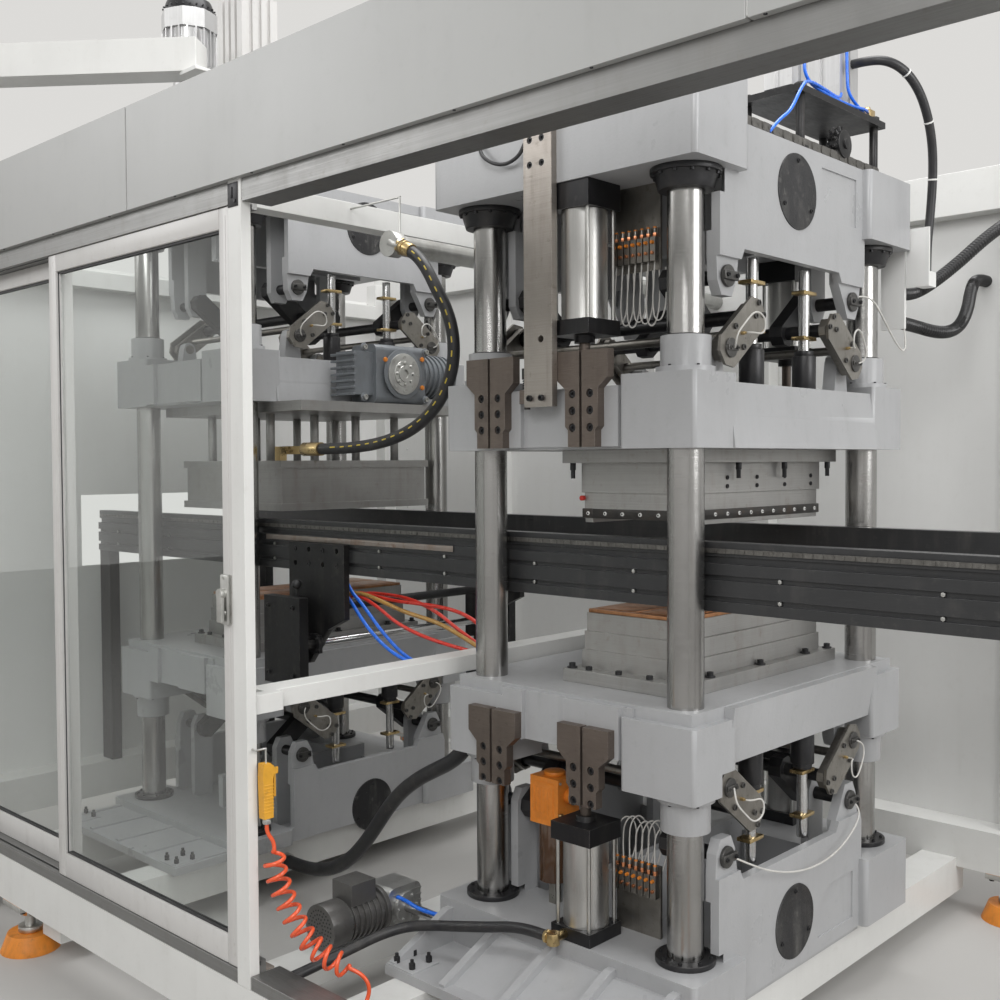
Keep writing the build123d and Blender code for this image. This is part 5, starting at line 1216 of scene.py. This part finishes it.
def hose_line(name, route, resolution, radius=0.0):
    """A smooth curve with the route's points, given in millimetres, as its control points."""
    data = bpy.data.curves.new(name, "CURVE")
    data.dimensions = "3D"
    spline = data.splines.new("NURBS")
    spline.points.add(len(route) - 1)
    for point, spot in zip(spline.points, route):
        point.co = (spot[0] / 1000, spot[1] / 1000, spot[2] / 1000, 1.0)
    spline.order_u = 3
    spline.use_endpoint_u = True
    spline.resolution_u = resolution
    data.bevel_depth = radius
    data.bevel_resolution = 6
    data.use_fill_caps = True
    line = bpy.data.objects.new(name, data)
    scene.collection.objects.link(line)
    return line


def line_points(route, resolution):
    """The points of a route's smooth curve, in metres."""
    line = hose_line("route", route, resolution)
    mesh = bpy.data.meshes.new_from_object(line)
    points = [corner.co.copy() for corner in mesh.vertices]
    bpy.data.objects.remove(line)
    return points


def finish_tube(name, points, radii, sides, material):
    """A tube along points, in metres, that isn't on a body yet and stands for the CAD hoses."""
    tube = bmesh.new()
    put_tube(tube, points, radii, sides)
    piece = finish_metres(name, tube, material, 60)
    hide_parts("hoses")
    return piece


TOP_HOSE = ((975, 350, 2688), (1028, 350, 2688), (1074, 374, 2681), (1104, 418, 2656), (1120, 472, 2610),
            (1124, 520, 2550), (1120, 562, 2485), (1112, 590, 2415), (1104, 602, 2340), (1096, 607, 2262),
            (1088, 607, 2185), (1088, 607, 2110))

# White nylon ties hold the thick hose
tie_white = surface("white_nylon_tie", (0.76, 0.76, 0.74), (0.35, 0.5), tone=0.05, clouds=60.0,
                    dirt=((0.4, 0.36, 0.30), 0.4))
ties = bmesh.new()
tie_line = line_points(TOP_HOSE, 10)
for index in (28, 52, 76):
    along = (tie_line[index + 1] - tie_line[index]).normalized() * 2.4
    middle = tie_line[index] * 1000
    put_rod(ties, middle - along, middle + along, 14.2, sides=24, edge=0.5)
hose_ties = finish_piece("hose_ties", ties, tie_white, "machine")

LOW_HOSE = ((636, -612, 350), (584, -612, 350), (524, -622, 345), (460, -642, 332), (400, -654, 320),
            (336, -668, 308), (276, -690, 300), (222, -722, 290), (180, -774, 272), (154, -840, 252),
            (140, -912, 238), (134, -984, 230), (132, -1050, 226), (132, -1104, 226))
SUCTION_HOSE = ((180, -400, 930), (180, -400, 868), (173, -398, 800), (150, -394, 735), (106, -388, 680),
                (44, -382, 638), (-28, -380, 602), (-104, -378, 560), (-180, -376, 506), (-250, -372, 438),
                (-316, -368, 360), (-388, -362, 282), (-472, -354, 212), (-566, -345, 158), (-668, -336, 126),
                (-762, -333, 114), (-840, -333, 114))
for name, route, diameter, length in (
    ("top_hose", TOP_HOSE, 0.026, 0.771),
    ("low_hose", LOW_HOSE, 0.028, 0.847),
    ("suction_hose", SUCTION_HOSE, 0.046, 1.408),
):
    hose = hose_line(name, route, 10, diameter / 2)
    hose.data.materials.append(hose_rubber)
    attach(hose, "machine")
    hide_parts("hoses")

CONDUIT_HIGH = ((1212, 1231, 2350), (1212, 1140, 2350), (1190, 1036, 2322), (1142, 944, 2260),
                (1074, 862, 2166), (1020, 776, 2094), (996, 684, 2058), (996, 587, 2058))
CONDUIT_LOW = ((1030, 1231, 2160), (1030, 1140, 2160), (1044, 1060, 2112), (1062, 985, 2030),
               (1066, 900, 1968), (1050, 800, 1946), (996, 684, 1972), (996, 587, 1972))
for name, route, length in (("conduit_high", CONDUIT_HIGH, 0.782), ("conduit_low", CONDUIT_LOW, 0.726)):
    points = line_points(route, 46)
    ridges = [(0.020, 0.020, 0.0166, 0.0166)[index % 4] for index in range(len(points))]
    conduit = finish_tube(name, points, ridges, 24, conduit_plastic)
    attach(conduit, "machine")

# The striped hose crosses from the fixed pipe to the platen, so it bends between the two
STRIPED_HOSE = ((-7, -508, 2184), (41, -508, 2163.6), (94, -509, 2116), (142, -512, 2046), (186, -508, 1976),
                (206, -504, 1896), (196, -500, 1814), (152, -496, 1742), (84, -492, 1684), (0, -488, 1644),
                (-90, -484, 1620), (-180, -480, 1606), (-270, -478, 1599), (-360, -477, 1596),
                (-440, -477, 1596))
points = line_points(STRIPED_HOSE, 14)
striped_hose = finish_tube("striped_hose", points, [0.018] * len(points), 28, hose_rubber)
dashes = bmesh.new()
frames = carried_frames(points)
to_operator = Vector((0.45, -0.85, 0.2))
for first in range(3, len(points) - 7, 7):
    dash = [point + (to_operator - along * to_operator.dot(along)).normalized() * 0.0170
            for point, along, normal in frames[first:first + 4]]
    put_tube(dashes, dash, [0.0022] * len(dash), 8)
hose_dashes = finish_metres("striped_hose_dashes", dashes, dash_yellow, 60)
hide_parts("hoses")
for piece in (striped_hose, hose_dashes):
    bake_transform(piece)

# The curly hose has straight ends and about ten turns between them
UPPER_LEAD = ((266, -1195, 694), (266, -1195, 680), (267.7, -1191.1, 666.7), (271.3, -1182.9, 653.9),
              (273, -1179, 640.6), (273, -1179, 627))
COIL = ((273, -1179, 627), (273, -1179, 588), (284, -1172, 544), (298, -1161, 498), (318, -1146, 446),
        (348, -1127, 403), (388, -1106, 374), (436, -1084, 360))
LOWER_LEAD = ((436, -1084, 360), (450.4, -1077.4, 355.8), (463, -1070.8, 349), (472.8, -1064.8, 338),
              (478, -1061.2, 323.4), (478, -1061.2, 307.4), (478, -1067.4, 292.6), (478, -1078.8, 281.2),
              (478, -1093.4, 275), (478, -1106, 275))
TURNS = 10.5
SWING = 0.0240
core = line_points(COIL, 44)
gone = 0.0
whole = sum((b - a).length for a, b in zip(core, core[1:]))
turns = []
for index, (point, along, normal) in enumerate(carried_frames(core)):
    gone += (point - core[max(index - 1, 0)]).length
    share = gone / whole
    swing = SWING * min(1.0, share / 0.05, (1.0 - share) / 0.05)
    angle = math.tau * TURNS * share
    across = normal * math.cos(angle) + along.cross(normal) * math.sin(angle)
    turns.append(point + across * swing)
curly_path = line_points(UPPER_LEAD, 5)[:-1] + turns + line_points(LOWER_LEAD, 5)[1:]
curly_hose = finish_tube("curly_hose", curly_path, [0.005] * len(curly_path), 12, curly_orange)
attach(curly_hose, "machine")

# Air, grease and signal lines
# Thin nylon and polyurethane tubes, pushed into brass fittings and clipped along the castings:
# blue, red and amber for air, white for grease, and black or white for signals.

air_blue = surface("blue_air_tube", (0.012, 0.16, 0.80), (0.22, 0.34), tone=0.08, clouds=30.0, coat=0.3)
air_red = surface("red_air_tube", (0.62, 0.035, 0.02), (0.24, 0.36), tone=0.08, clouds=30.0, coat=0.2)
air_gold = surface("amber_air_tube", (0.42, 0.24, 0.06), (0.24, 0.36), tone=0.12, clouds=30.0, coat=0.2)
line_white = surface("white_grease_tube", (0.62, 0.61, 0.58), (0.28, 0.42), tone=0.08, clouds=30.0,
                     dirt=((0.25, 0.18, 0.10), 0.5))


def thin_line(name, route, diameter, material, body):
    """A thin fixed tube on a smooth curve, in millimetres."""
    line = hose_line(name, route, 8, diameter / 2000)
    line.data.bevel_resolution = 3
    line.data.materials.append(material)
    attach(line, body)


# Each line: name, diameter, material and route
FIXED_LINES = (
    ("air_line_top_a", 9, air_blue,
     ((962, 60, 2760), (985, 55, 2745), (996, 30, 2640), (1000, 30, 2560), (1004, 169, 2548),
      (1004, 300, 2550), (1004, 395, 2562), (985, 425, 2562))),
    ("air_line_top_b", 9, air_blue,
     ((975, 296, 2752), (984, 296, 2745), (986, 296, 2640), (988, 300, 2590), (992, 360, 2562),
      (985, 415, 2554))),
    ("air_line_top_c", 9, air_blue,
     ((1016, -180, 2380), (1022, -140, 2420), (1026, -90, 2450), (1030, -44, 2520), (1018, 10, 2556),
      (1004, 140, 2560), (990, 250, 2562), (974, 285, 2590))),
    ("cable_loop", 10, hose_rubber,
     ((388, -570, 2392), (390, -588, 2380), (410, -594, 2350), (450, -594, 2325), (495, -594, 2316),
      (540, -594, 2330), (556, -592, 2360), (556, -570, 2385))),
    ("signal_line_rear", 5, line_white,
     ((1040, 262, 2008), (1058, 300, 2015), (1058, 380, 1960), (1054, 470, 1895), (1046, 545, 1870),
      (1038, 580, 1900), (1030, 583, 1950))),
    ("signal_line_base", 5, line_white,
     ((1040, -366, 580), (1058, -330, 560), (1060, -240, 520), (1060, -120, 485), (1060, 0, 470),
      (1060, 120, 480), (1060, 220, 520), (1056, 262, 560), (1040, 262, 575))),
    ("drive_air_line", 12, air_blue,
     ((-8, -545, 262), (30, -545, 262), (70, -544, 252), (120, -542, 250), (180, -541, 256),
      (240, -540, 262))),
    ("blue_line_a", 12, air_blue,
     ((-500, -380, 1190), (-470, -380, 1140), (-421, -380, 1099), (-320, -380, 1003), (-199, -374, 934),
      (-80, -350, 912), (40, -322, 925), (126, -306, 962))),
    ("blue_line_b", 12, air_blue,
     ((-470, -372, 1190), (-440, -366, 1130), (-385, -360, 1090), (-290, -356, 1003), (-170, -350, 925),
      (-60, -326, 905), (50, -300, 930), (126, -286, 966))),
    ("red_line_a", 12, air_red,
     ((-530, -300, 1080), (-500, -300, 1112), (-430, -300, 1112), (-300, -300, 1098), (-120, -300, 1100),
      (20, -300, 1090), (120, -300, 1050), (160, -300, 994))),
    ("red_line_b", 12, air_red,
     ((-530, -262, 1080), (-500, -262, 1106), (-400, -268, 1112), (-250, -276, 1110), (-110, -284, 1080),
      (0, -292, 1030), (126, -300, 984))),
    ("red_line_c", 12, air_red,
     ((-530, -330, 1080), (-498, -332, 1104), (-420, -336, 1108), (-330, -338, 1080), (-230, -338, 1030),
      (-60, -330, 990), (126, -325, 975))),
    ("amber_line", 14, air_gold,
     ((-530, -345, 1078), (-495, -345, 1108), (-420, -335, 1120), (-330, -312, 1092), (-230, -304, 1066),
      (-75, -304, 1048), (50, -310, 1010), (126, -312, 985))),
)
for name, diameter, material, route in FIXED_LINES:
    thin_line(name, route, diameter, material, "machine")
top_fitting = bmesh.new()
put_block(top_fitting, (968, 408, 2538), (1002, 442, 2570), 2.0)
put_rod(top_fitting, (985, 425, 2570), (985, 425, 2580), 9, sides=6, edge=0.8)
put_rod(top_fitting, (975, 296, 2752), (981, 296, 2752), 10, sides=20, edge=1.0)
put_rod(top_fitting, (962, 60, 2760), (968, 60, 2760), 10, sides=20, edge=1.0)
finish_piece("top_air_fittings", top_fitting, brass, "machine")
for unit, x in enumerate(UNIT_PLACES):
    deep = 6 * (unit % 3)
    upper = ((0, -412, 2051), (0, -416, 2000), (6, -430, 1944 - deep), (18, -436, 1898 - deep),
             (32, -424, 1902 - deep), (34, -406, 1960), (24, -399, 2034))
    lower = ((0, -412, 524), (0, -414, 568), (8, -420, 608 + deep), (28, -410, 636 + deep), (46, -392, 616),
             (44, -387, 560), (28, -391, 506), (24, -393, 494))
    for level, route in (("upper", upper), ("lower", lower)):
        placed = [(x + shift, y, z) for shift, y, z in route]
        thin_line(f"{level}_dosing_line_{unit}", placed, 4, line_white, "machine")

# Each link carries a loop of grease tube from its nipple round to its lower pin
LOOP = ((64, 0, 13), (64, 0, 28), (92, 26, 40), (118, -6, 42), (96, -42, 38), (48, -40, 34), (8, -34, 28),
        (-8, -12, 22), (0, 0, 12))
for toggle, station_x, pin_y, low_z, side, up in TOGGLES:
    low_end = Vector((station_x + CHEEK_FACE, pin_y, low_z))
    reach = Vector((0, -side * math.sin(REST), up * math.cos(REST)))
    aside = Vector((0, -side * math.cos(REST), -up * math.sin(REST)))
    loop = [low_end + reach * along + aside * across + Vector((out, 0, 0)) for along, across, out in LOOP]
    thin_line(toggle + "_grease_loop", loop, 4.5, line_white, toggle + "_link")

# Crimped ferrules hold the striped hose to its two fittings
ferrules = bmesh.new()
put_rod(ferrules, (-7, -508, 2184), (36, -508.4, 2165.6), 20.5, sides=32, edge=1.5)
put_rod(ferrules, (2, -508, 2180), (8, -508, 2177.5), 22.5, sides=32, edge=1.0)
finish_piece("hose_ferrule", ferrules, brass, "machine")
